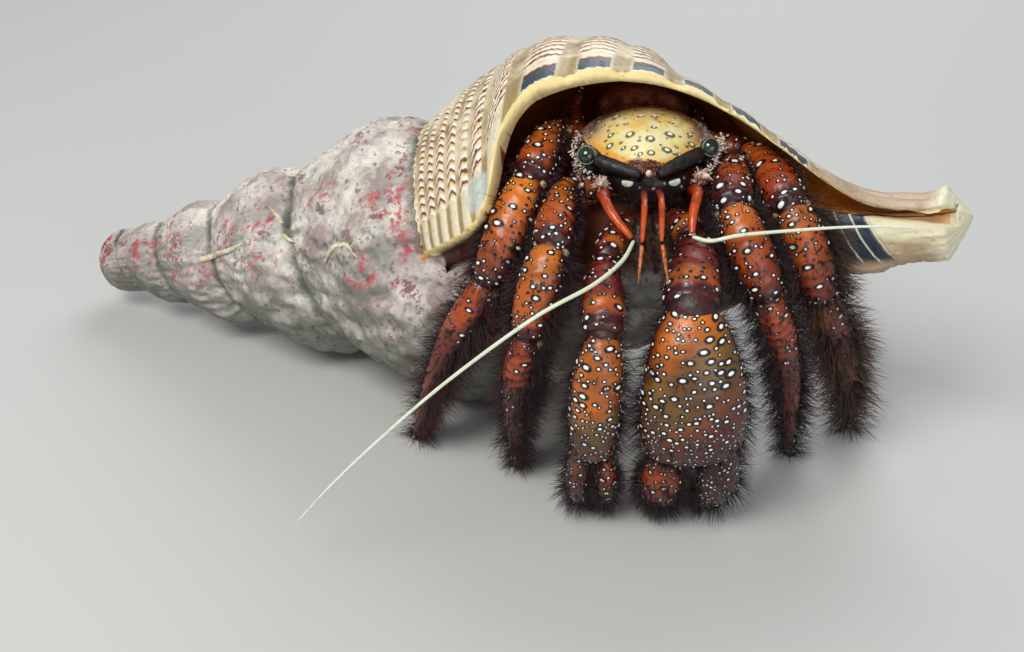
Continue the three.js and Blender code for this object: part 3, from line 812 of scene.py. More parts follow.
# A hard plate round a length, with cross folds and a scalloped rim near its far end.
def plate(name, length, net, rim=0.0, folds=0.1, seed=1):
    def place(share, turn):
        at = 0.55 * share + 0.45 * (1 - np.cos(math.pi * share)) / 2
        wave = np.sin(at * length.reach * foldsPerMm + 2.2 * np.sin(4 * math.pi * turn + seed))
        collar = hill(at, plateRim["at"], plateRim["half"])
        collar = collar - 0.7 * hill(at, plateRim["grooveAt"], plateRim["grooveHalf"])
        scallops = 0.75 + 0.25 * np.cos(fullTurn * turn * plateRim["scallops"])
        return length.at(at, turn, folds * wave + rim * collar * scallops)

    return ballNet(name, *net, place)[0]


# An ellipsoid, squarer the lower its power, tipped up and then swung round by degrees.
def ball(name, centre, halves, net=(24, 32), turn=(0, 0), power=1.0):
    def rounded(value):
        return np.sign(value) * np.abs(value) ** power

    def place(share, around):
        x = rounded(np.sin(math.pi * share)) * rounded(np.cos(fullTurn * around)) * halves[0]
        y = rounded(np.sin(math.pi * share)) * rounded(np.sin(fullTurn * around)) * halves[1]
        z = np.cos(math.pi * share) * halves[2]
        y, z = turned(y, z, math.radians(turn[0]))
        x, y = turned(x, y, math.radians(turn[1]))
        return np.stack([x, y, z], 1) + np.array(centre)

    return ballNet(name, *net, place)[0]


# Joins pieces into one soft-edged body.
def fused(pieces, name, voxel, passes):
    body = joined(pieces, name)
    remesh = body.modifiers.new("fuse", "REMESH")
    remesh.mode = "VOXEL"
    remesh.voxel_size = voxel * mm
    soften = body.modifiers.new("soften", "SMOOTH")
    soften.factor = 0.5
    soften.iterations = passes
    bpy.ops.object.modifier_apply(modifier="fuse")
    bpy.ops.object.modifier_apply(modifier="soften")
    faceOut(body.data)
    smoothed(body.data)
    return body


# Growths on the shell.

# Chalky worm tubes: stations, degrees from the top and half widths along each.
wormTubes = [
    [[88.5, 69, 1.5], [91, 68, 1.0], [97, 65, 0.75], [104, 63, 0.8], [111, 60, 0.6]],
    [[120, 38, 0.6], [124, 46, 0.8], [126, 56, 0.75], [131, 61, 0.5]],
    [[146, 72, 0.5], [150, 66, 0.8], [157, 65, 0.7], [161, 70, 0.5]],
    [[104, -38, 0.6], [109, -30, 0.8], [117, -31, 0.8], [122, -40, 0.5]],
    [[139, -62, 0.6], [145, -56, 0.9], [151, -60, 0.8], [154, -70, 0.5]],
]


def addGrowths(looks):
    pieces = []
    for index, tube in enumerate(wormTubes):
        station, angle, half = np.array(tube).T
        outer = whorls(station, lipAngle(station) + (angle - lipAngle(station)) % 360)[0]
        path = shellPoint(station, outer + 0.2, angle)
        girth = [[place, wide, wide] for place, wide in zip(np.linspace(0, 1, len(half)), half)]
        length = Length(path, 0, 1, girth, side=(0, 0, 1), blunt=0.3)
        pieces.append(plate("worm_tube", length, (60, 16), 0, 0.12, index))
    finish(joined(pieces, "worm_tubes"), looks["tube"], "shell")


# Raised spots.

# Spots scattered over a piece: place, across, along and outward ways, half height and width.
# With ends given, they get finer and closer from the first end to the second.
def spotsOn(piece, count, sizes, seed, along, gap=1.45, ends=None):
    rng = np.random.default_rng(seed)
    centres, normals, areas = faceData(piece.data)
    share = np.zeros(len(areas)) if ends is None else np.clip(shareAlong(centres, *ends), 0, 1)
    chance = areas * (0.35 + share)
    picks = rng.choice(len(areas), count * 6, p=chance / chance.sum())
    places, widths, spots = np.zeros((0, 3)), np.zeros(0), []
    for pick in picks:
        grade = rng.random() ** 2.5
        high = (sizes[0] + (sizes[1] - sizes[0]) * grade) * (1 - 0.35 * share[pick])
        wide = high * (1.1 + 0.6 * grade * (1 - share[pick]) + 0.2 * rng.random())
        if (np.linalg.norm(places - centres[pick], axis=1) < gap * (widths + wide)).any():
            continue
        places, widths = np.vstack([places, centres[pick]]), np.append(widths, wide)
        tilt = unit(np.array(along, float) + rng.normal(size=3) * 0.15)
        across = unit(np.cross(normals[pick], tilt))
        spots.append((centres[pick], across, np.cross(across, normals[pick]), normals[pick], high, wide))
        if len(spots) == count:
            break
    return spots


# Raises the spots, and paints how near each point is to one, how lit it is and how far along.
def raiseSpots(piece, spots, lit, start, end, height=0.7):
    points, normals = getPoints(piece.data), vertexNormals(piece.data)
    near, size = np.full(len(points), 4.0), np.zeros(len(points))
    for at, across, up, out, high, wide in spots:
        gap = points - at
        deep = 2 * high + 0.5
        here = np.sqrt((gap @ across / wide) ** 2 + (gap @ up / high) ** 2 + (gap @ out / deep) ** 2)
        size = np.where(here < near, high, size)
        near = np.minimum(near, here)
    moat = 0.25 * hill(near, 1.35, 0.35)
    rise = size * (height * np.sqrt(np.clip(1 - near ** 2, 0, 1)) - moat)
    setPoints(piece.data, points + normals * rise[:, None])
    lit = normals @ unit(np.array(lit, float))
    paint(piece.data, "marks", np.stack([near, lit, shareAlong(points, start, end)], 1))


# Bristles.

bristle = {
    "sides": 3, "rings": (0.0, 0.4, 0.75), "taper": 0.7,    # rings as shares of the length
    "sunk": 0.12, "scatter": 0.1,            # mm that roots sit in the skin, and stray in a tuft
    "spread": 0.2, "waver": 0.1,             # how far the way and the bend of each one stray
    "patch": 0.003,                          # side of a tuft's patch in the baking map
}


# Roots, ways, lengths and baking patches of bristles in small tufts on a piece.
def growFrom(piece, count, seed, size, lean, start, end, band, weight=None, tuft=3):
    rng = np.random.default_rng(seed)
    centres, normals, areas = faceData(piece.data)
    share = shareAlong(centres, start, end)
    if weight is not None:
        areas = areas * np.clip(weight(centres, normals, share), 0, None)
    picks = rng.choice(len(areas), count // tuft, p=areas / areas.sum())
    along = unit(np.array(end, float) - start)
    across = unit(np.cross(along, np.array([0.3, 0.2, 1.0])))
    arm = centres - start
    turn = np.arctan2(arm @ np.cross(along, across), arm @ across) / fullTurn % 1
    patches = np.stack([0.01 + 0.97 * turn, band[0] + (band[1] - band[0]) * np.clip(share, 0.01, 0.98)], 1)
    picks = np.repeat(picks, tuft)
    many = len(picks)
    roots = centres[picks] - normals[picks] * bristle["sunk"]
    roots = roots + rng.normal(size=(many, 3)) * bristle["scatter"]
    ways = normals[picks] * (1 - lean) + along * lean + rng.normal(size=(many, 3)) * bristle["spread"]
    return roots, ways, rng.uniform(*size, many), patches[picks]


# How thickly bristles stand on a limb: thinner by a share where it faces the light.
def thinned(bare, lit):
    lit = unit(np.array(lit, float))
    return lambda centres, normals, share: 1.02 - bare * smoothstep(-0.25, 0.6, normals @ lit)


# Bent tapering bristles as one mesh, each tuft with its own patch in the baking map.
def bristles(name, grown, radius, seed, bend=0.3, droop=(0, 0, -1)):
    roots, ways, lengths, patches = (np.concatenate(column) for column in zip(*grown))
    rng = np.random.default_rng(seed)
    sides, steps = bristle["sides"], bristle["rings"]
    count = len(roots)
    ways = unit(ways)
    helper = unit(np.cross(ways, rng.normal(size=(count, 3))))
    other = np.cross(ways, helper)
    thick = rng.uniform(*radius, count)
    sag = np.array(droop, float) * bend + rng.normal(size=(count, 3)) * bristle["waver"]
    rings = []
    for step in steps:
        centre = roots + (ways * step + sag * step ** 2) * lengths[:, None]
        for k in range(sides):
            turn = fullTurn * k / sides
            spoke = helper * math.cos(turn) + other * math.sin(turn)
            rings.append(centre + spoke * (thick * (1 - bristle["taper"] * step))[:, None])
    rings.append(roots + (ways + sag) * lengths[:, None])
    each, top = len(rings), (len(steps) - 1) * sides
    loops = [[ring * sides + k, ring * sides + (k + 1) % sides, (ring + 1) * sides + (k + 1) % sides,
              (ring + 1) * sides + k] for ring in range(len(steps) - 1) for k in range(sides)]
    caps = [[top + k, top + (k + 1) % sides, each - 1] for k in range(sides)] + [[2, 1, 0]]
    corners = np.array([corner for face in loops + caps for corner in face])
    totals = np.array([4] * len(loops) + [3] * len(caps))
    shift = np.arange(count)[:, None] * each
    mesh = bpy.data.meshes.new(name)
    mesh.vertices.add(count * each)
    mesh.loops.add(count * len(corners))
    mesh.polygons.add(count * len(totals))
    owners = (corners[None] + shift).ravel()
    mesh.loops.foreach_set("vertex_index", owners)
    starts = np.concatenate([[0], np.cumsum(totals)[:-1]])
    mesh.polygons.foreach_set("loop_start", (starts[None] + np.arange(count)[:, None] * len(corners)).ravel())
    smoothed(mesh)
    points = np.stack(rings, 1).reshape(-1, 3)
    points[:, 2] = np.maximum(points[:, 2], floorLevel + 0.01)
    setPoints(mesh, points)
    mesh.validate()
    tip = np.tile(np.array([step for step in steps for _ in range(sides)] + [1.0]), count)
    paint(mesh, "tip", tip)
    layer = mesh.uv_layers.new(name="OFBake")
    local = np.stack([owners % each % sides / sides, tip[owners]], 1) * bristle["patch"]
    layer.data.foreach_set("uv", (patches[owners // each] + local).astype(np.float32).ravel())
    faceOut(mesh)
    piece = bpy.data.objects.new(name, mesh)
    scene.collection.objects.link(piece)
    return piece


# Limb materials.

# Stops say the lit side's colour along the limb, over a painted shade colour on the side turned away from the
# light.
# A slant moves them along the limb by so much for each metre sideways from its middle.
def limbMaterial(name, stops, side=(0.05, 0.005, 0.007), dots=0.75, slant=0.0, middle=0.0):
    material, tree, shader = newMaterial(name, 0.3, Coat_Weight=0.12, Coat_Roughness=0.25)
    near, lit, along = parted(tree, "marks")
    place = node(tree, "ShaderNodeTexCoord").outputs["Object"]
    sideways = maths(tree, "SUBTRACT", node(tree, "ShaderNodeSeparateXYZ", [(0, place)]).outputs[0], middle)
    along = maths(tree, "MULTIPLY_ADD", sideways, slant, along)
    uneven = shaken(tree, -0.5, 1.0, 120, 4, 0.6)
    ramp = node(tree, "ShaderNodeValToRGB", [(0, maths(tree, "MULTIPLY_ADD", uneven, 0.14, along))])
    for index, (place, colour) in enumerate(stops):
        if index < 2:
            stop = ramp.color_ramp.elements[index]
            stop.position = place
        else:
            stop = ramp.color_ramp.elements.new(place)
        stop.color = (*colour, 1)
    patchy = blotches(tree, 0.35, 0.65, 75, 4)
    bright = mixed(tree, patchy, mixed(tree, 0.5, ramp.outputs[0], side), ramp.outputs[0])
    # Painted shade: the limb takes the dark side colour where it faces away from its light.
    litShare = stepped(tree, maths(tree, "ADD", lit, uneven), 0.1, 0.8)
    colour = mixed(tree, litShare, side, bright)
    spots = grouped(tree, spotGroup, {"Base": colour, "Near": near, "Dots": dots})
    coloured(tree, shader, spots["Colour"])
    grained(tree, shader, 620.0, 0.18, 0.46, 0.5, 0.0004, spots["Dots"])
    return material


def hairMaterial(name, root, tip):
    material, tree, shader = newMaterial(name, 0.5)
    share = stepped(tree, attribute(tree, "tip").outputs["Fac"], 0.45, 1.0)
    colour = mixed(tree, share, root, tip)
    colour = laid(tree, colour, root, blotches(tree, 0.4, 0.7, 160, 2), 0.7)
    coloured(tree, shader, colour)
    return material


def skinMaterial(name, dark, light, scale=220.0, low=0.3, high=0.6):
    material, tree, shader = newMaterial(name, 0.4)
    colour = mixed(tree, blotches(tree, 0.35, 0.68, scale, 5, 0.6), dark, light)
    coloured(tree, shader, colour)
    grained(tree, shader, scale * 3, low, high, 0.6, 0.0005)
    return material


# Walking legs.

legGirth = {
    "merus": [[0, 3.2, 3.2], [0.5, 4.6, 4.8], [1, 3.2, 3.4]],
    "carpus": [[0, 2.8, 3], [0.4, 4.8, 4.8], [0.85, 6, 5.8], [1, 5.6, 5.2]],
    "propodus": [[0, 5, 5], [0.2, 6, 5.8], [0.6, 6.2, 6], [1, 5.2, 5]],
    "dactylus": [[0, 4.9, 4.7], [0.25, 5, 4.9], [0.6, 3.5, 3.7], [1, 1.1, 1.4]],
}
legPieces = {
    # span on the leg's points, spots, their half sizes, net, rim; bristles: count, length, lean, and
    # how much thinner they stand on the lit side
    "merus": {"span": (0, 1), "spots": 45, "sizes": (0.24, 0.6), "net": (60, 80), "rim": 0.2,
              "hair": (450, (0.8, 2.4), 0.5, 1.0)},
    "carpus": {"span": (1, 2), "spots": 120, "sizes": (0.24, 0.74), "net": (92, 108), "rim": 0.4,
               "hair": (1300, (1.2, 4.0), 0.42, 1.0)},
    "propodus": {"span": (2, 3), "spots": 170, "sizes": (0.22, 0.64), "net": (92, 112), "rim": 0.25,
                 "hair": (3350, (2.6, 7.8), 0.34, 1.0)},
    "dactylus": {"span": (3, 5), "spots": 200, "sizes": (0.24, 0.5), "net": (112, 80), "rim": 0.0,
                 "hair": (4250, (3.0, 8.2), 0.36, 0.99)},
}
legs = {
    "leg_2_right": {
        "points": [[18.2, -27, 82], [7.4, -30.5, 84], [0.9, -55, 77], [-5, -62, 55], [-8, -57, 32],
                   [-8, -46, 0.1]],
        "lit": (-0.35, -0.6, 0.7), "seed": 11, "look": "right", "hair": "dark", "brush": 0.85},
    "leg_3_right": {
        "points": [[14.6, -10, 83.6], [4.2, -15.5, 94], [-4.6, -36, 88], [-16, -50, 64.5], [-27, -47, 42],
                   [-39, -31, 0.1]],
        "lit": (-0.35, -0.6, 0.7), "seed": 12, "look": "right", "hair": "red", "brush": 1.2},
    "leg_2_left": {
        "points": [[37.2, -27.4, 83.4], [49.4, -27, 88.6], [48.8, -49, 85.6], [57.6, -60, 65.5],
                   [65.5, -56, 42], [73, -40, 0.1]],
        "lit": (-0.1, -0.75, 0.65), "seed": 13, "look": "left", "hair": "dark", "brush": 0.95},
    "leg_3_left": {
        "points": [[39, -14, 86.5], [55.2, -21, 90.2], [64, -47.8, 84.8], [74, -51.5, 60.5], [84, -43, 38],
                   [94, -26, 0.1]],
        "lit": (-0.2, -0.7, 0.68), "seed": 14, "look": "left", "hair": "gold", "brush": 1.7},
}
jointGap = 0.1


def addLeg(name, leg, looks):
    last = len(leg["points"]) - 1
    grown, joints, knobs = [], [], []
    for index, (part, piece) in enumerate(legPieces.items()):
        start, end = (value / last for value in piece["span"])
        ends = curvePoints(leg["points"], np.array([start, end]))
        margin = jointGap / np.linalg.norm(ends[1] - ends[0]) * (end - start)
        foot = part == "dactylus"
        length = Length(leg["points"], start + margin, end if foot else end - margin, legGirth[part])
        seed = leg["seed"] * 10 + index
        way = ends[1] - ends[0]
        made = plate(f"{name}_{part}_plate", length, piece["net"], piece["rim"], 0.1, seed)
        spots = spotsOn(made, piece["spots"], piece["sizes"], seed, way)
        raiseSpots(made, spots, leg["lit"], ends[0], ends[1])
        if foot:
            onFloor(made)
        finish(made, looks["foot" if foot else leg["look"]], "limb", f"{name}_{part}")
        count, size, lean, bare = piece["hair"]
        brush = leg["brush"] if index > 1 else 1
        size = (size[0], size[1] * (0.55 + 0.45 * brush))
        grown.append(growFrom(made, int(count * min(brush, 1.2)), seed + 500, size, lean, *ends,
                              (index / 4, (index + 1) / 4), thinned(bare, leg["lit"])))
        if index:
            small = 0.76 * legGirth[part][0][1]
            joints.append(ball("joint", ends[0], (small,) * 3))
            aside = unit(np.cross(way, np.array(leg["lit"])))
            for side in (-1, 1):
                knob = ends[0] + aside * side * 1.12 * small
                knobs.append(ball("condyle", knob, (1.15, 1.15, 1.15), (12, 16)))
    finish(joined(knobs, f"{name}_condyles"), looks["condyle"], "limb")
    finish(joined(joints, f"{name}_joints"), looks["joint"], "soft")
    coat = bristles(f"{name}_bristles", grown, (0.058, 0.11), leg["seed"], bend=0.14)
    finish(coat, looks[leg["hair"] + "Hair"], "limb")


# Claws.

claws = {
    "left": {
        "arm": [[32.5, -36.5, 77], [38.4, -49.5, 77], [36.2, -72, 68.5], [37.2, -79, 50], [38, -77.5, 27]],
        "merus": [[0, 3.4, 3.4], [0.5, 4.8, 5], [1, 4, 4.2]],
        "carpus": [[0, 4.4, 4.4], [0.5, 6.8, 6.8], [1, 8.4, 7]],
        "palm": [[0, 9.6, 7.4], [0.3, 12, 9], [0.75, 15.2, 9.4], [1, 15.4, 8.4]],
        "fixed": [[44, -77.6, 36], [46, -73.5, 15], [42, -62, 0.1]],
        "moving": [[31.2, -77.2, 25.6], [31, -72.5, 13], [36.6, -62, 0.1]],
        "finger": [[0, 6.4, 6.2], [0.4, 6.4, 6], [1, 2.4, 2.4]],
        "spots": {"merus": 50, "carpus": 120, "palm": 1100, "moving": 170}, "hair": 1.0, "seed": 31},
    "right": {
        "arm": [[22.6, -37, 77], [15.2, -54.5, 72.6], [14, -75, 62.5], [12.2, -79, 46], [12.2, -77, 27]],
        "merus": [[0, 3, 3.2], [0.5, 4.2, 4.6], [1, 3.8, 4]],
        "carpus": [[0, 4, 4.2], [0.5, 5.6, 5.8], [1, 6, 5.6]],
        "palm": [[0, 5.8, 5.4], [0.4, 7, 6.4], [1, 6.8, 6]],
        "fixed": [[9.2, -77.4, 35], [8.2, -73.5, 15], [10.8, -62, 0.1]],
        "moving": [[15.4, -76.8, 25.6], [16.2, -72.5, 13], [14.2, -62, 0.1]],
        "finger": [[0, 3.2, 4.2], [0.4, 3.3, 4.2], [1, 1.3, 1.8]],
        "spots": {"merus": 40, "carpus": 90, "palm": 600, "moving": 110}, "hair": 0.7, "seed": 32},
}
clawLit = (-0.05, -0.85, 0.55)
clawHair = {
    # count, length, lean, and how much thinner they stand on the lit side
    "merus": (450, (0.8, 2.4), 0.5, 1.0),
    "carpus": (1250, (1.2, 3.6), 0.45, 1.0),
    "palm": (6000, (1.4, 6.4), 0.34, 1.0),
    "moving": (3150, (2.0, 5.4), 0.4, 0.8),
}
clawLooks = {"merus": "arm", "carpus": "arm", "palm": "claw", "moving": "foot"}


def addClaw(hand, claw, looks):
    name = f"claw_{hand}"
    grown, joints = [], []
    arm = claw["arm"]
    lengths = {
        "merus": Length(arm, 0.004, 0.248, claw["merus"]),
        "carpus": Length(arm, 0.253, 0.497, claw["carpus"]),
        "palm": Length(arm, 0.503, 1.0, claw["palm"], blunt=0.14),
        "fixed": Length(claw["fixed"], 0, 1, claw["finger"], blunt=0.3),
        "moving": Length(claw["moving"], 0, 1, claw["finger"], blunt=0.3),
    }
    for index, part in enumerate(clawLooks):
        seed = claw["seed"] * 10 + index
        start, end = lengths[part].ends
        if part == "palm":
            sides = [plate(f"{name}_side", lengths[side], (60, 60)) for side in ("palm", "fixed")]
            made = fused(sides, f"{name}_palm_plate", 0.37, 16)
            end = lengths["fixed"].ends[1]
        else:
            rim = 0.4 if part == "carpus" else 0
            made = plate(f"{name}_{part}_plate", lengths[part], (80, 96), rim, 0.1, seed)
        fine = np.array(arm[3:], float) if part == "palm" else None
        sizes = (0.3, 0.62) if part == "palm" else (0.26, 0.6)
        spots = spotsOn(made, claw["spots"][part], sizes, seed, end - start, 1.35, fine)
        raiseSpots(made, spots, clawLit, start, end)
        onFloor(made)
        replaced = "finger" if part == "moving" else part
        finish(made, looks[clawLooks[part]], "claw", f"{name}_{replaced}")
        count, size, lean, bare = clawHair[part]
        grown.append(growFrom(made, int(count * claw["hair"]), seed + 500, size, lean, start, end,
                              (index / 4, (index + 1) / 4), thinned(bare, clawLit)))
        if part in ("carpus", "palm"):
            small = 0.7 * claw[part][0][1]
            joints.append(ball("joint", start, (small,) * 3))
    finish(joined(joints, f"{name}_joints"), looks["joint"], "soft")
    coat = bristles(f"{name}_bristles", grown, (0.053, 0.1), claw["seed"], bend=0.16)
    finish(coat, looks["darkHair"], "claw")


# Small legs inside the shell.

grippers = {
    "leg_4_right": [[13.4, -3, 87], [9.5, 4, 90], [11, 11, 97]],
    "leg_4_left": [[41.5, -8, 89], [46, -1, 88], [44.6, 6, 91.6]],
    "leg_5_right": [[12.6, 8, 83], [9, 16, 83], [12, 23, 88]],
    "leg_5_left": [[43.2, -2, 80.4], [45.6, 3.5, 80], [45, 8.5, 81]],
}
gripperGirth = [[0, 1.9, 1.9], [0.25, 2, 2], [0.33, 1.3, 1.3], [0.42, 1.9, 1.9], [0.62, 1.8, 1.8],
                [0.7, 1.2, 1.2], [0.78, 1.7, 1.6], [1, 1.1, 1.1]]


def addGrippers(looks):
    grown = []
    for index, (name, points) in enumerate(grippers.items()):
        length = Length(points, 0, 1, gripperGirth)
        made = plate(f"{name}_plate", length, (64, 40), 0, 0.04, index)
        start, end = length.ends
        raiseSpots(made, spotsOn(made, 26, (0.2, 0.4), 700 + index, end - start), (0, -0.4, 0.9), start, end)
        finish(made, looks["foot"], "limb", name)
        band = (index / 4, (index + 1) / 4)
        grown.append(growFrom(made, 330, 720 + index, (0.7, 1.8), 0.5, start, end, band))
    finish(bristles("gripping_leg_bristles", grown, (0.04, 0.07), 73), looks["darkHair"], "limb")


# Shield, the hard front half of the back.

shield = {
    "centre": (27.6, -23.4, 94.0), "turn": -8.0, "dome": 7.0,
    "net": (130, 200), "nub": (26.5, -45.2, 93.9),
    # half of the edge, from the point between the eyes round to the back: sideways, ahead
    "edge": [[0, 18.4], [4, 17], [8.4, 13.4], [12.8, 8.6], [16.8, 3.2], [17.8, -2], [17.2, -7], [14.8, -12.5],
             [10.8, -17.5], [5.6, -21], [0, -22.2]],
    # knobs: sideways, ahead, half height, half width
    "knobs": [[-4.2, 7.9, 0.7, 0.9], [6.5, 6, 0.7, 1.0], [1.4, 10, 0.75, 0.85], [2, 5.3, 0.4, 0.65],
              [-2, -0.2, 0.45, 0.7], [1.8, -0.7, 0.5, 0.7], [-2.8, 12.5, 0.5, 0.75], [6, 11.1, 0.6, 1.0],
              [2, 13.6, 0.55, 0.75], [-9.6, 5.7, 0.5, 0.7], [11.6, 2.6, 0.5, 0.65], [-9.6, 9, 0.6, 0.8],
              [12.4, 5.6, 0.6, 0.8], [-5.8, 11.5, 0.4, 0.6], [-0.8, 14.3, 0.4, 0.55], [-8.7, -2.5, 0.6, 0.8],
              [9.7, -7.4, 0.6, 0.8], [-3.3, -6.6, 0.45, 0.65], [3.1, -8.4, 0.5, 0.65],
              [-13.4, -4.4, 0.6, 0.7],
              [6.5, 1.1, 0.35, 0.5], [-12, 0.6, 0.4, 0.5], [9.2, 10.6, 0.4, 0.6], [14.6, 2.2, 0.4, 0.5],
              [-12.6, -10, 0.5, 0.6], [-6.8, -13, 0.5, 0.6], [0.5, -14.5, 0.5, 0.6], [7.2, -14.2, 0.5, 0.6],
              [13.6, -5.4, 0.45, 0.6], [-14.9, 1.2, 0.4, 0.5], [4.1, -3.6, 0.3, 0.4], [-5.4, 3.4, 0.3, 0.4]],
}
shieldEdge = refined(shield["edge"], 6, 5)


def shieldNet(share, turn):
    reach = np.sin(math.pi * share) ** 0.85
    half = np.minimum(turn, 1 - turn) * 2 * (len(shieldEdge) - 1)
    side = np.interp(half, np.arange(len(shieldEdge)), shieldEdge[:, 0]) * np.where(turn > 0.5, -1, 1)
    ahead = np.interp(half, np.arange(len(shieldEdge)), shieldEdge[:, 1])
    x, y = reach * side, -reach * ahead
    groove = hill(np.hypot(x, y - 26), 13.5, 0.9)
    groove += 0.6 * hill(np.abs(x) - 0.1 * y, 9.5, 0.7) * (y > -2)
    dome = shield["dome"] * (1 - reach ** 2.2) - 0.55 * groove
    rim = 0.35 * hill(reach, 0.95, 0.03) * (y < 4)
    upper = np.where(share < 0.5, dome + rim, -1.9 * (1 - reach ** 2))
    upper = upper - 1.3 * np.clip(-y / 18.4, 0, 1) ** 2 * reach
    return np.stack([*turned(x, y, math.radians(shield["turn"])), upper], 1) + np.array(shield["centre"])


def shieldMaterial():
    material, tree, shader = newMaterial("shieldPlate", 0.3, Coat_Weight=0.3, Coat_Roughness=0.2)
    near = parted(tree, "marks")[0]
    side, ahead, reach = parted(tree, "shield")
    cloud = grain(tree, 150, 4, 0.6)
    pale = mixed(tree, stepped(tree, cloud, 0.35, 0.6), (0.78, 0.56, 0.14), (0.82, 0.76, 0.42))
    green = times(tree, blotches(tree, 0.52, 0.66, 95, 5, 0.7), 0.6)
    colour = mixed(tree, green, pale, (0.62, 0.66, 0.38))
    flank = stepped(tree, maths(tree, "ABSOLUTE", side), 0.48, 0.85)
    front = stepped(tree, ahead, -0.1, 0.35)
    gold = times(tree, flank, front)
    edge = times(tree, stepped(tree, reach, 0.86, 0.94), front)
    gold = maths(tree, "MAXIMUM", gold, edge)
    colour = laid(tree, colour, (0.8, 0.36, 0.03), gold, 0.85)
    # Painted shade: the rear of the shield darkens to mauve, partly its own colour and partly painted shade
    # under the shell's lip.
    uneven = shaken(tree, maths(tree, "SUBTRACT", reach, 0.25), 0.5, 110, 5, 0.7)
    rearward = stepped(tree, times(tree, ahead, -1), -0.4, 0.1)
    back = times(tree, stepped(tree, uneven, 0.6, 0.88), rearward)
    mauve = mottled(tree, (0.1, 0.03, 0.035), (0.36, 0.2, 0.18), 260, 4, 0.7)
    colour = mixed(tree, back, colour, mauve)
    brow = shaken(tree, ahead, 0.2, 300, 3)
    aside = inverse(tree, stepped(tree, maths(tree, "ABSOLUTE", side), 0.36, 0.44))
    brow = times(tree, stepped(tree, brow, 0.9, 0.98), aside)
    colour = mixed(tree, brow, colour, (0.09, 0.012, 0.012))
    near = times(tree, near, 1.18)
    spots = grouped(tree, spotGroup, {"Base": colour, "Near": near, "Dots": 0.6, "Dot Scale": 300.0,
                                      "Ring": (0.16, 0.14, 0.06), "Spot": (0.93, 0.93, 0.86)})
    coloured(tree, shader, spots["Colour"])
    grained(tree, shader, 520.0, 0.15, 0.45, 0.6, 0.0005)
    return material


def addShield(looks):
    piece, share = ballNet("shield_plate", *shield["net"], shieldNet)[:2]
    flat = getPoints(piece.data) - np.array(shield["centre"])
    side, behind = turned(flat[:, 0], flat[:, 1], math.radians(-shield["turn"]))
    ahead = -behind
    points, normals, knobs = getPoints(piece.data), vertexNormals(piece.data), []
    for x, y, high, wide in shield["knobs"]:
        nearest = np.argmin(np.hypot(side - x, ahead - y) + 50 * (share > 0.5))
        normal = normals[nearest]
        across = unit(np.cross(normal, np.array([0.14, -1.0, 0])))
        knobs.append((points[nearest], across, np.cross(across, normal), normal, high, wide))
    grains = spotsOn(piece, 150, (0.16, 0.3), 51, (0, -1, 0), 2.2)
    raiseSpots(piece, knobs + grains, (0, 0, 1), (27.6, -41, 94), (27.6, -1, 94), 0.6)
    paint(piece.data, "shield", np.stack([side / 17.8, ahead / 18.4, np.sin(math.pi * share) ** 0.85], 1))
    finish(piece, shieldMaterial(), "plate", "carapace_shield")

    def onFront(centres, normals, along):
        out = centres - np.array(shield["centre"])
        front = smoothstep(15.0, 16.5, -out[:, 1]) * (np.abs(out[:, 0] + 1.4) < 7.2) * (normals[:, 2] > -0.4)
        return front

    def onRim(centres, normals, along):
        out = centres - np.array(shield["centre"])
        return (np.hypot(out[:, 0] / 17.5, out[:, 1] / 20) > 0.88) * (out[:, 1] > -6) * (normals[:, 2] > -0.3)

    start, end = (27.6, -1, 94), (26.0, -41, 93)
    fringe = growFrom(piece, 300, 61, (1.3, 2.7), 0.55, start, end, (0, 0.5), onFront, tuft=2)
    finish(bristles("brow_fringe", [fringe], (0.13, 0.24), 62, bend=0.3), looks["browHair"], "plate")
    finish(ball("rostrum_nub", shield["nub"], (0.85, 0.85, 0.95), (20, 28)), looks["spiny"], "plate")
    rim = growFrom(piece, 1500, 63, (0.6, 1.6), 0.2, start, end, (0.5, 1), onRim)
    finish(bristles("shield_fuzz", [rim], (0.04, 0.07), 64), looks["paleHair"], "plate")


# Soft body, one skin from the mouth to the tail inside the shell.

skinBalls = {
    "thorax": {"centre": (27.4, -26, 85.8), "halves": (9.6, 17.2, 5.2), "turn": (4, -8)},
    "face": {"centre": (26.8, -37.4, 88.7), "halves": (11.6, 6.4, 4.8), "turn": (0, -8)},
    "under the shield": {"centre": (27.8, -20, 90.6), "halves": (15.2, 17.5, 3.0), "turn": (0, -8)},
    "right cheek": {"centre": (11.6, -31.5, 91.4), "halves": (3.6, 6.6, 3.8), "turn": (0, 0)},
    "left cheek": {"centre": (43.4, -28.5, 91.8), "halves": (3.2, 6.6, 3.8), "turn": (0, 0)},
    "behind the shield": {"centre": (29, -3, 90.5), "halves": (13.5, 10, 5.6), "turn": (0, -14)},
    "rear": {"centre": (29.5, 9.5, 88.5), "halves": (14.2, 11.5, 9.2), "turn": (-32, -20)},
}
belly = {
    "from": -62, "to": -235, "points": 9, "station": 231, "radius": 33,
    "front": [[0, 12.2, 12.2], [0.5, 10.7, 10.7], [1, 9.4, 9.4]],
    "rear": [[0, 9.2, 9.2], [0.6, 7, 7], [1, 5.4, 5.4]],
    "fan": [[0, 4.9, 4.9], [0.6, 5.1, 3.1], [1, 3.9, 1.6]],
}


cheekArcs = [
    {"points": [[46.6, -30.5, 98.2], [46.6, -33, 95.6], [44.6, -35.4, 92.8], [41.4, -38, 90.6],
                [39, -39.6, 89.4]],
     "tufts": 40, "spread": 0.5, "way": (0.6, -0.8, 0.1), "row": 0.3, "seed": 95},
    {"points": [[9.2, -31, 99.4], [7.6, -33.4, 97.6], [7.8, -35.8, 94.4], [10.6, -38.6, 91.6],
                [14, -41, 89.4]],
     "tufts": 26, "spread": 0.5, "way": (-0.5, -0.8, 0.1), "row": 0.6, "seed": 96},
]


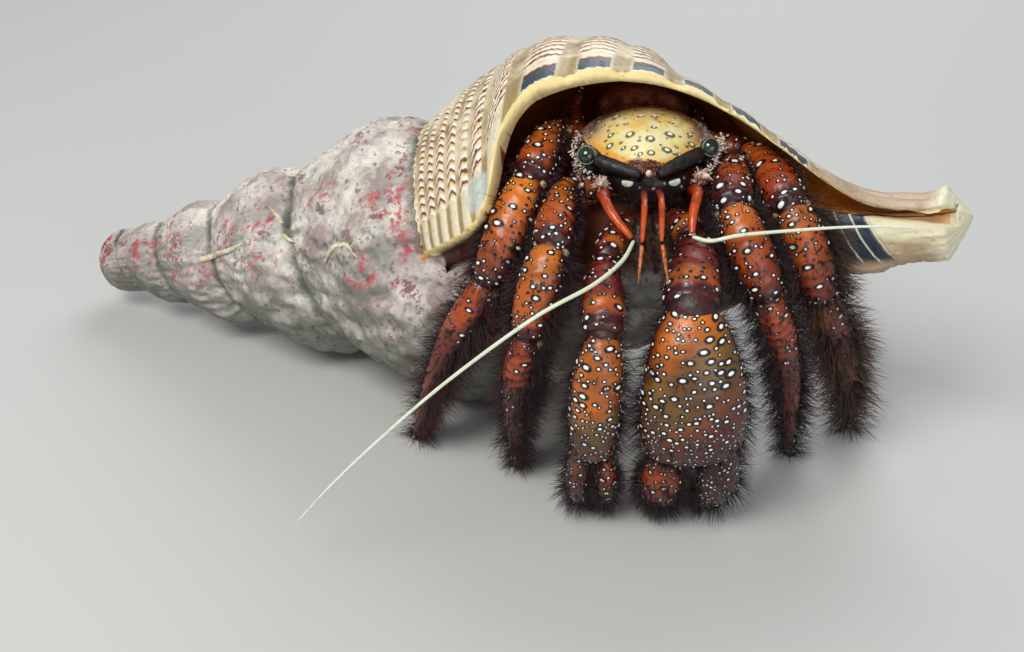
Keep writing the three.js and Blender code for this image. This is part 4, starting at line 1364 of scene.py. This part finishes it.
def softMaterial():
    material, tree, shader = newMaterial("softSkin", 0.4, Specular_IOR_Level=0.3)
    rear = attribute(tree, "rear").outputs["Fac"]
    cloud = blotches(tree, 0.35, 0.68, 170, 5, 0.65)
    # Painted shade: the front of the soft skin, under the shield and between the legs, is painted near black.
    front = mixed(tree, cloud, (0.003, 0.0012, 0.003), (0.024, 0.005, 0.007))
    back = mixed(tree, cloud, (0.15, 0.032, 0.016), (0.4, 0.16, 0.1))
    colour = mixed(tree, stepped(tree, rear, 0.15, 0.85), front, back)
    flecks = inverse(tree, stepped(tree, cells(tree, 420), 0.12, 0.2))
    colour = laid(tree, colour, (0.5, 0.4, 0.34), flecks, 0.6)
    coloured(tree, shader, colour)
    grained(tree, shader, 460.0, 0.28, 0.6, 0.7, 0.0006)
    return material


def addSoftBody(looks):
    parts = [ball(name.replace(" ", "_"), part["centre"], part["halves"], turn=part["turn"], power=0.85)
             for name, part in skinBalls.items()]
    angles = np.linspace(belly["from"], belly["to"], belly["points"])
    scale = shell["growth"] ** ((angles + 30) / 360)
    path = [shellPoint(belly["station"] * one, belly["radius"] * one ** shell["girthPower"], angle)
            for one, angle in zip(scale, angles)]
    last = belly["points"] - 1
    for part, start, end in (("front", 0, 4), ("rear", 4, 7), ("fan", 7, 8)):
        length = Length(path, max(start - 0.3, 0) / last, end / last, belly[part], side=shellAxis, blunt=0.3)
        parts.append(plate(f"belly_{part}", length, (40, 40), 0, 0.0))
    skin = fused(parts, "soft_body", 0.85, 14)
    points, normals = getPoints(skin.data), vertexNormals(skin.data)
    folds = 0.22 * ripple(points, 7, 81) + 0.12 * ripple(points, 3, 82)
    setPoints(skin.data, points + normals * (folds - 0.2)[:, None])
    paint(skin.data, "rear", smoothstep(-26, 2, points[:, 1]))
    finish(skin, softMaterial(), "soft", "thorax", "carapace_rear", "abdomen_front", "abdomen_rear",
           "abdomen_tail_fan")

    def onCheeks(centres, normals, share):
        left = hill(np.linalg.norm(centres - np.array([44.5, -28, 91.5]), axis=1), 0, 3.4)
        right = hill(np.linalg.norm(centres - np.array([11.0, -30, 91.5]), axis=1), 0, 3.6)
        return left * (normals[:, 1] < 0.5) + 0.3 * right * (normals[:, 1] < 0.3)

    arcs = []
    for arc in cheekArcs:
        roots = curvePoints(arc["points"], np.linspace(0, 1, 3 * arc["tufts"]))
        rng = np.random.default_rng(arc["seed"])
        roots = roots + rng.normal(size=roots.shape) * arc["spread"]
        ways = np.array(arc["way"], float) + rng.normal(size=roots.shape) * 0.35
        patches = np.stack([np.linspace(0.02, 0.95, len(roots)), np.full(len(roots), arc["row"])], 1)
        arcs.append((roots, ways, rng.uniform(0.5, 1.15, len(roots)), patches))
    finish(bristles("cheek_beads", arcs, (0.24, 0.38), 88, bend=0.1), looks["bead"], "soft")

    def onFace(centres, normals, share):
        return (centres[:, 1] < -34) * (normals[:, 1] < 0) * (centres[:, 2] < 90) * 1.0

    def onBelly(centres, normals, share):
        return (centres[:, 1] > 0) * 1.0

    start, end = (27, -45, 86), (27, 40, 86)
    cheeks = growFrom(skin, 700, 83, (0.8, 1.9), 0.0, start, end, (0, 0.2), onCheeks)
    finish(bristles("cheek_tufts", [cheeks], (0.07, 0.14), 84, bend=0.1), looks["paleHair"], "soft")
    face = growFrom(skin, 700, 85, (0.8, 2.4), -0.2, start, end, (0.2, 0.5), onFace)
    back = growFrom(skin, 800, 86, (0.5, 1.2), 0.4, start, end, (0.5, 1), onBelly)
    finish(bristles("body_hairs", [face, back], (0.035, 0.06), 87), looks["darkHair"], "soft")


# Eyes, their stalks and scales.

eyes = {
    "right": {"centre": (10.7, -36.5, 95.3), "facing": (-0.28, -0.86, 0.42),
              "stalk": [[24.4, -44.6, 93.2], [18, -41.6, 94.2], [12.6, -38.2, 95.1]],
              "scale": (20.8, -46.7, 92.0), "lean": 14},
    "left": {"centre": (43.5, -33, 96.1), "facing": (0.24, -0.88, 0.42),
             "stalk": [[28.8, -44.2, 93.1], [35, -39.8, 94.5], [41.4, -35, 95.8]],
             "scale": (33.2, -45.6, 91.8), "lean": -14},
}
eyeSize = {"ball": 2.65, "ring": 2.36, "ringThick": 0.16}
stalkGirth = [[0, 1.7, 1.9], [0.3, 1.85, 1.95], [0.75, 1.9, 1.9], [1, 2.35, 2.3]]


def eyeMaterial():
    material, tree, shader = newMaterial("cornea", 0.1, Coat_Weight=0.8, Coat_Roughness=0.04)
    facing = attribute(tree, "facing").outputs["Fac"]
    facets = cells(tree, 3600)
    cloud = blotches(tree, 0.4, 0.65, 260, 3)
    green = mixed(tree, cloud, (0.004, 0.012, 0.01), (0.035, 0.06, 0.025))
    green = laid(tree, green, (0.002, 0.006, 0.006), stepped(tree, facets, 0.2, 0.5), 0.4)
    stalk = mixed(tree, cloud, (0.003, 0.0015, 0.003), (0.016, 0.004, 0.006))
    colour = mixed(tree, stepped(tree, facing, 0.4, 0.44), stalk, green)
    coloured(tree, shader, colour)
    rough = maths(tree, "MULTIPLY_ADD", facing, -0.12, 0.24)
    tree.links.new(rough, shader.inputs["Roughness"])
    bumped(tree, shader, facets, 0.15, 0.0001)
    return material


def addEyes(looks):
    cornea = eyeMaterial()
    for name, eye in eyes.items():
        centre, facing = np.array(eye["centre"]), unit(np.array(eye["facing"]))
        size = eyeSize["ball"]
        globe = ball(f"eye_{name}_globe", centre, (size,) * 3, (40, 56))
        paint(globe.data, "facing", vertexNormals(globe.data) @ facing)
        finish(globe, cornea, "eye", f"eye_{name}")
        deselect()
        place = centre + facing * math.sqrt(size ** 2 - eyeSize["ring"] ** 2)
        turn = Vector(facing).to_track_quat("Z", "Y").to_euler()
        bpy.ops.mesh.primitive_torus_add(
            major_segments=64, minor_segments=10, major_radius=eyeSize["ring"] * mm,
            minor_radius=eyeSize["ringThick"] * mm, location=Vector(place + toFrame) * mm, rotation=turn)
        ring = bpy.context.object
        bpy.ops.object.transform_apply(location=True, rotation=True, scale=True)
        ring.name = f"eye_{name}_ring"
        ring.data.name = ring.name
        smoothed(ring.data)
        finish(ring, looks["ring"], "eye", f"eye_{name}")
        length = Length(eye["stalk"], 0, 1, stalkGirth, side=(0, 0, 1), blunt=0.2)
        stalk = plate(f"eyestalk_{name}_skin", length, (60, 44), 0, 0.05, 5)
        finish(stalk, looks["stalk"], "stalk", f"eyestalk_{name}")
        scale = ball(f"eye_scale_{name}_plate", (0, 0, 0), (1.55, 0.55, 1.25), (30, 36))
        points = getPoints(scale.data)
        points[:, 2] = np.minimum(points[:, 2], 0.35 + 0.12 * points[:, 0])
        up, side = turned(points[:, 2], points[:, 0], math.radians(eye["lean"]))
        setPoints(scale.data, np.stack([side, points[:, 1], up], 1) + np.array(eye["scale"]))
        finish(scale, looks["scale"], "plate", f"eye_scale_{name}")


# Feelers and mouthparts.

feelers = {
    "right": {
        "base": [[15.6, -42.4, 86.4], [14.4, -52, 90.4], [16.4, -58, 88.2], [21.1, -63, 84]],
        "spiny": [[14.5, -43, 90], [13.6, -49.5, 93]],
        "small": [[25.2, -46, 89], [24.2, -60, 92], [23, -70.4, 86.6]],
        "tip": [[22.9, -71, 86], [21.9, -77, 78.4]],
        "mouth": [[25, -44.5, 81.5], [24, -51, 78], [24.6, -53, 68]],
        "long": [[21.5, -63.6, 83.4], [18.4, -72, 82.6], [10.5, -84, 82], [-3, -91, 77.4],
                 [-25, -94.5, 61], [-42, -95, 44.5], [-55, -93.5, 29.5], [-65.5, -91.5, 15.5]],
        "rings": 260,
    },
    "left": {
        "base": [[38.4, -39, 86.2], [39, -48.5, 89.8], [37.4, -54.5, 86.8], [36.9, -58.6, 83.1]],
        "spiny": [[40.5, -38, 90], [42, -44, 92.6]],
        "small": [[29.2, -45.5, 89], [28.6, -59, 92], [27.9, -70, 86.6]],
        "tip": [[28, -70.6, 86], [29.3, -77, 78.4]],
        "mouth": [[29.6, -44, 81.5], [29.4, -50, 78], [28.8, -52.5, 68]],
        "long": [[37, -59.2, 82.5], [41, -61.4, 82.4], [48, -62, 84.2], [60.5, -61, 85], [79, -58.5, 85],
                 [96.5, -56, 83.6]],
        "rings": 130,
    },
}
feelerGirth = {
    "base": [[0, 1.8, 1.8], [0.16, 1.9, 1.9], [0.3, 1.75, 1.7], [0.38, 1.2, 1.2], [0.44, 1.4, 1.35],
             [0.8, 1.1, 1.1], [1, 1.0, 1.0]],
    "spiny": [[0, 2, 1.6], [0.5, 1.7, 1.4], [1, 0.8, 0.7]],
    "small": [[0, 1.05, 1.05], [0.1, 1.05, 1.05], [0.5, 0.78, 0.78], [0.56, 0.9, 0.9], [0.62, 0.78, 0.78],
              [1, 0.66, 0.66]],
    "tip": [[0, 0.66, 0.66], [0.4, 0.5, 0.5], [1, 0.28, 0.28]],
    "mouth": [[0, 1.8, 2], [0.3, 2, 2.2], [0.42, 1.5, 1.6], [0.5, 1.9, 2.0], [0.75, 1.4, 1.5], [1, 0.9, 0.9]],
    "long": [[0, 0.62, 0.62], [0.5, 0.45, 0.45], [1, 0.26, 0.26]],
}


def feelerMaterial(name, start, end, dark):
    material, tree, shader = newMaterial(name, 0.3, Coat_Weight=0.2, Coat_Roughness=0.2)
    share = parted(tree, "marks")[2]
    colour = mixed(tree, stepped(tree, share, 0.1, 0.95), start, end)
    colour = laid(tree, colour, dark, blotches(tree, 0.5, 0.68, 330, 4, 0.65), 0.6)
    coloured(tree, shader, colour)
    grained(tree, shader, 900.0, 0.2, 0.45, 0.4, 0.0003)
    return material


def addFeelers(looks):
    hairs, spines = [], []
    for index, (side, feeler) in enumerate(feelers.items()):
        pieces = {
            "base": ("antenna_base", looks["feeler"], "feeler", (90, 44)),
            "small": ("antennule", looks["feeler"], "feeler", (90, 32)),
            "tip": ("antennule_tip", looks["feelerTip"], "feeler", (44, 20)),
            "spiny": ("antenna_scale", looks["spiny"], "plate", (40, 36)),
            "mouth": ("maxilliped", looks["mouth"], "soft", (70, 44)),
        }
        for part, (label, look, slotName, net) in pieces.items():
            length = Length(feeler[part], 0, 1, feelerGirth[part], blunt=0.15)
            made = plate(f"{label}_{side}_skin", length, net, 0, 0.03, 3)
            raiseSpots(made, [], (0, 0, 1), *length.ends)
            finish(made, look, slotName, f"{label}_{side}")
            start, end = np.array(feeler[part][0]), np.array(feeler[part][-1])
            band = (index / 2, index / 2 + 0.4)
            if part == "spiny":
                spines.append(growFrom(made, 46, 900 + index, (0.9, 2.2), 0.45, start, end, band, tuft=1))
            if part == "mouth":
                hairs.append(growFrom(made, 800, 910 + index, (0.9, 2.6), 0.4, start, end, band))
            if part == "tip":
                hairs.append(growFrom(made, 160, 920 + index, (0.6, 1.5), 0.5, start, end, band))
        whip = Length(feeler["long"], 0, 1, feelerGirth["long"], side=(0, 0, 1), blunt=0.1)

        def beaded(share, turn, whip=whip, rings=feeler["rings"]):
            at = 0.98 * share + 0.02 * (1 - np.cos(math.pi * share)) / 2
            return whip.at(at, turn, 0.035 * np.abs(np.sin(math.pi * at * rings)))

        long, share, turn = ballNet(f"antenna_flagellum_{side}_whip", feeler["rings"] * 3, 12, beaded)
        raiseSpots(long, [], (0, 0, 1), *whip.ends)
        finish(long, looks["whip"], "flagellum", f"antenna_flagellum_{side}")
    finish(bristles("antenna_spines", spines, (0.2, 0.36), 93, bend=0.05), looks["spiny"], "plate")
    finish(bristles("mouth_hairs", hairs, (0.035, 0.07), 94), looks["mouthHair"], "soft")


# Everything in turn.

addCamera()
addLights()
addFloor()
print("stage set")
shellPiece = addShell()
seat(shellPiece, "shell", "shell")
print("shell made", len(shellPiece.data.polygons))
looks = {
    # Painted light and shade: the right legs, nearer the light, are painted brighter orange than the left
    # legs, which are painted darker and redder.
    "right": limbMaterial("rightLegPlateLit", [(0.0, (0.62, 0.17, 0.006)), (0.22, (0.55, 0.13, 0.004)),
                                            (0.84, (0.4, 0.065, 0.006)), (0.96, (0.05, 0.005, 0.006))]),
    "left": limbMaterial("leftLegPlateShaded", [(0.0, (0.56, 0.14, 0.006)), (0.25, (0.44, 0.085, 0.004)),
                                          (0.84, (0.3, 0.035, 0.005)), (0.96, (0.04, 0.004, 0.006))]),
    # Painted shade: the dactyls and moving fingers darken towards their tips near the floor.
    "foot": limbMaterial("footPlate", [(0.0, (0.4, 0.06, 0.006)), (0.5, (0.23, 0.024, 0.006)),
                                       (1.0, (0.09, 0.01, 0.007))], dots=0.5),
    # Painted shade: the first part of each arm piece, towards the body, is painted dark, where shade falls
    # under the head.
    "arm": limbMaterial("armPlate", [(0.0, (0.28, 0.036, 0.006)), (0.62, (0.22, 0.022, 0.006)),
                                     (0.74, (0.56, 0.14, 0.008)), (0.84, (0.44, 0.085, 0.008)),
                                     (0.9, (0.06, 0.005, 0.006))]),
    # Painted shade: the lower palm and the fixed finger are painted dark, where shade falls under the claw.
    "claw": limbMaterial("clawPlate", [(0.0, (0.6, 0.15, 0.005)), (0.06, (0.46, 0.11, 0.004)),
                                       (0.13, (0.21, 0.1, 0.009)), (0.28, (0.12, 0.068, 0.01)),
                                       (0.37, (0.2, 0.05, 0.008)), (0.46, (0.13, 0.02, 0.006)),
                                       (0.6, (0.06, 0.007, 0.005))], slant=8.0, middle=0.05),
    "condyle": skinMaterial("condyle", (0.2, 0.1, 0.03), (0.6, 0.5, 0.26), 420.0, 0.2, 0.4),
    "tube": skinMaterial("wormTube", (0.42, 0.36, 0.2), (0.82, 0.78, 0.6), 300.0, 0.5, 0.8),
    "joint": skinMaterial("jointSkin", (0.01, 0.003, 0.004), (0.06, 0.008, 0.008)),
    "stalk": skinMaterial("stalkSkin", (0.002, 0.0012, 0.002), (0.014, 0.004, 0.005), 160.0, 0.38, 0.6),
    "ring": skinMaterial("eyeRing", (0.1, 0.17, 0.14), (0.26, 0.36, 0.3), 300.0, 0.3, 0.5),
    "scale": skinMaterial("eyeScale", (0.42, 0.52, 0.4), (0.74, 0.8, 0.64), 380.0, 0.25, 0.5),
    "spiny": skinMaterial("spinyScale", (0.36, 0.14, 0.07), (0.9, 0.8, 0.68), 420.0, 0.2, 0.4),
    # Painted shade: the mouthparts are painted near black, where shade falls under the head.
    "mouth": skinMaterial("mouthSkin", (0.01, 0.003, 0.005), (0.07, 0.012, 0.01), 300.0, 0.25, 0.5),
    "feeler": feelerMaterial("feelerSkin", (0.22, 0.013, 0.005), (0.52, 0.07, 0.004), (0.13, 0.008, 0.004)),
    "feelerTip": feelerMaterial("feelerTip", (0.6, 0.13, 0.01), (0.3, 0.12, 0.03), (0.12, 0.04, 0.012)),
    "whip": feelerMaterial("whipSkin", (0.62, 0.68, 0.5), (0.72, 0.76, 0.64), (0.4, 0.46, 0.34)),
    "darkHair": hairMaterial("darkBristle", (0.012, 0.003, 0.005), (0.07, 0.014, 0.014)),
    "redHair": hairMaterial("redBristle", (0.016, 0.003, 0.006), (0.14, 0.02, 0.025)),
    "goldHair": hairMaterial("goldBristle", (0.012, 0.003, 0.005), (0.26, 0.13, 0.04)),
    "browHair": hairMaterial("browSpine", (0.2, 0.03, 0.016), (0.95, 0.6, 0.44)),
    "paleHair": hairMaterial("paleTuft", (0.5, 0.38, 0.3), (0.9, 0.86, 0.8)),
    "bead": hairMaterial("paleBead", (0.66, 0.58, 0.5), (0.95, 0.93, 0.9)),
    "mouthHair": hairMaterial("mouthHair", (0.03, 0.01, 0.008), (0.36, 0.24, 0.12)),
}
addGrowths(looks)
addSoftBody(looks)
addShield(looks)
addEyes(looks)
addFeelers(looks)
print("body and head made")
for name, leg in legs.items():
    addLeg(name, leg, looks)
    print("made", name)
for hand, claw in claws.items():
    addClaw(hand, claw, looks)
    print("made claw", hand)
addGrippers(looks)
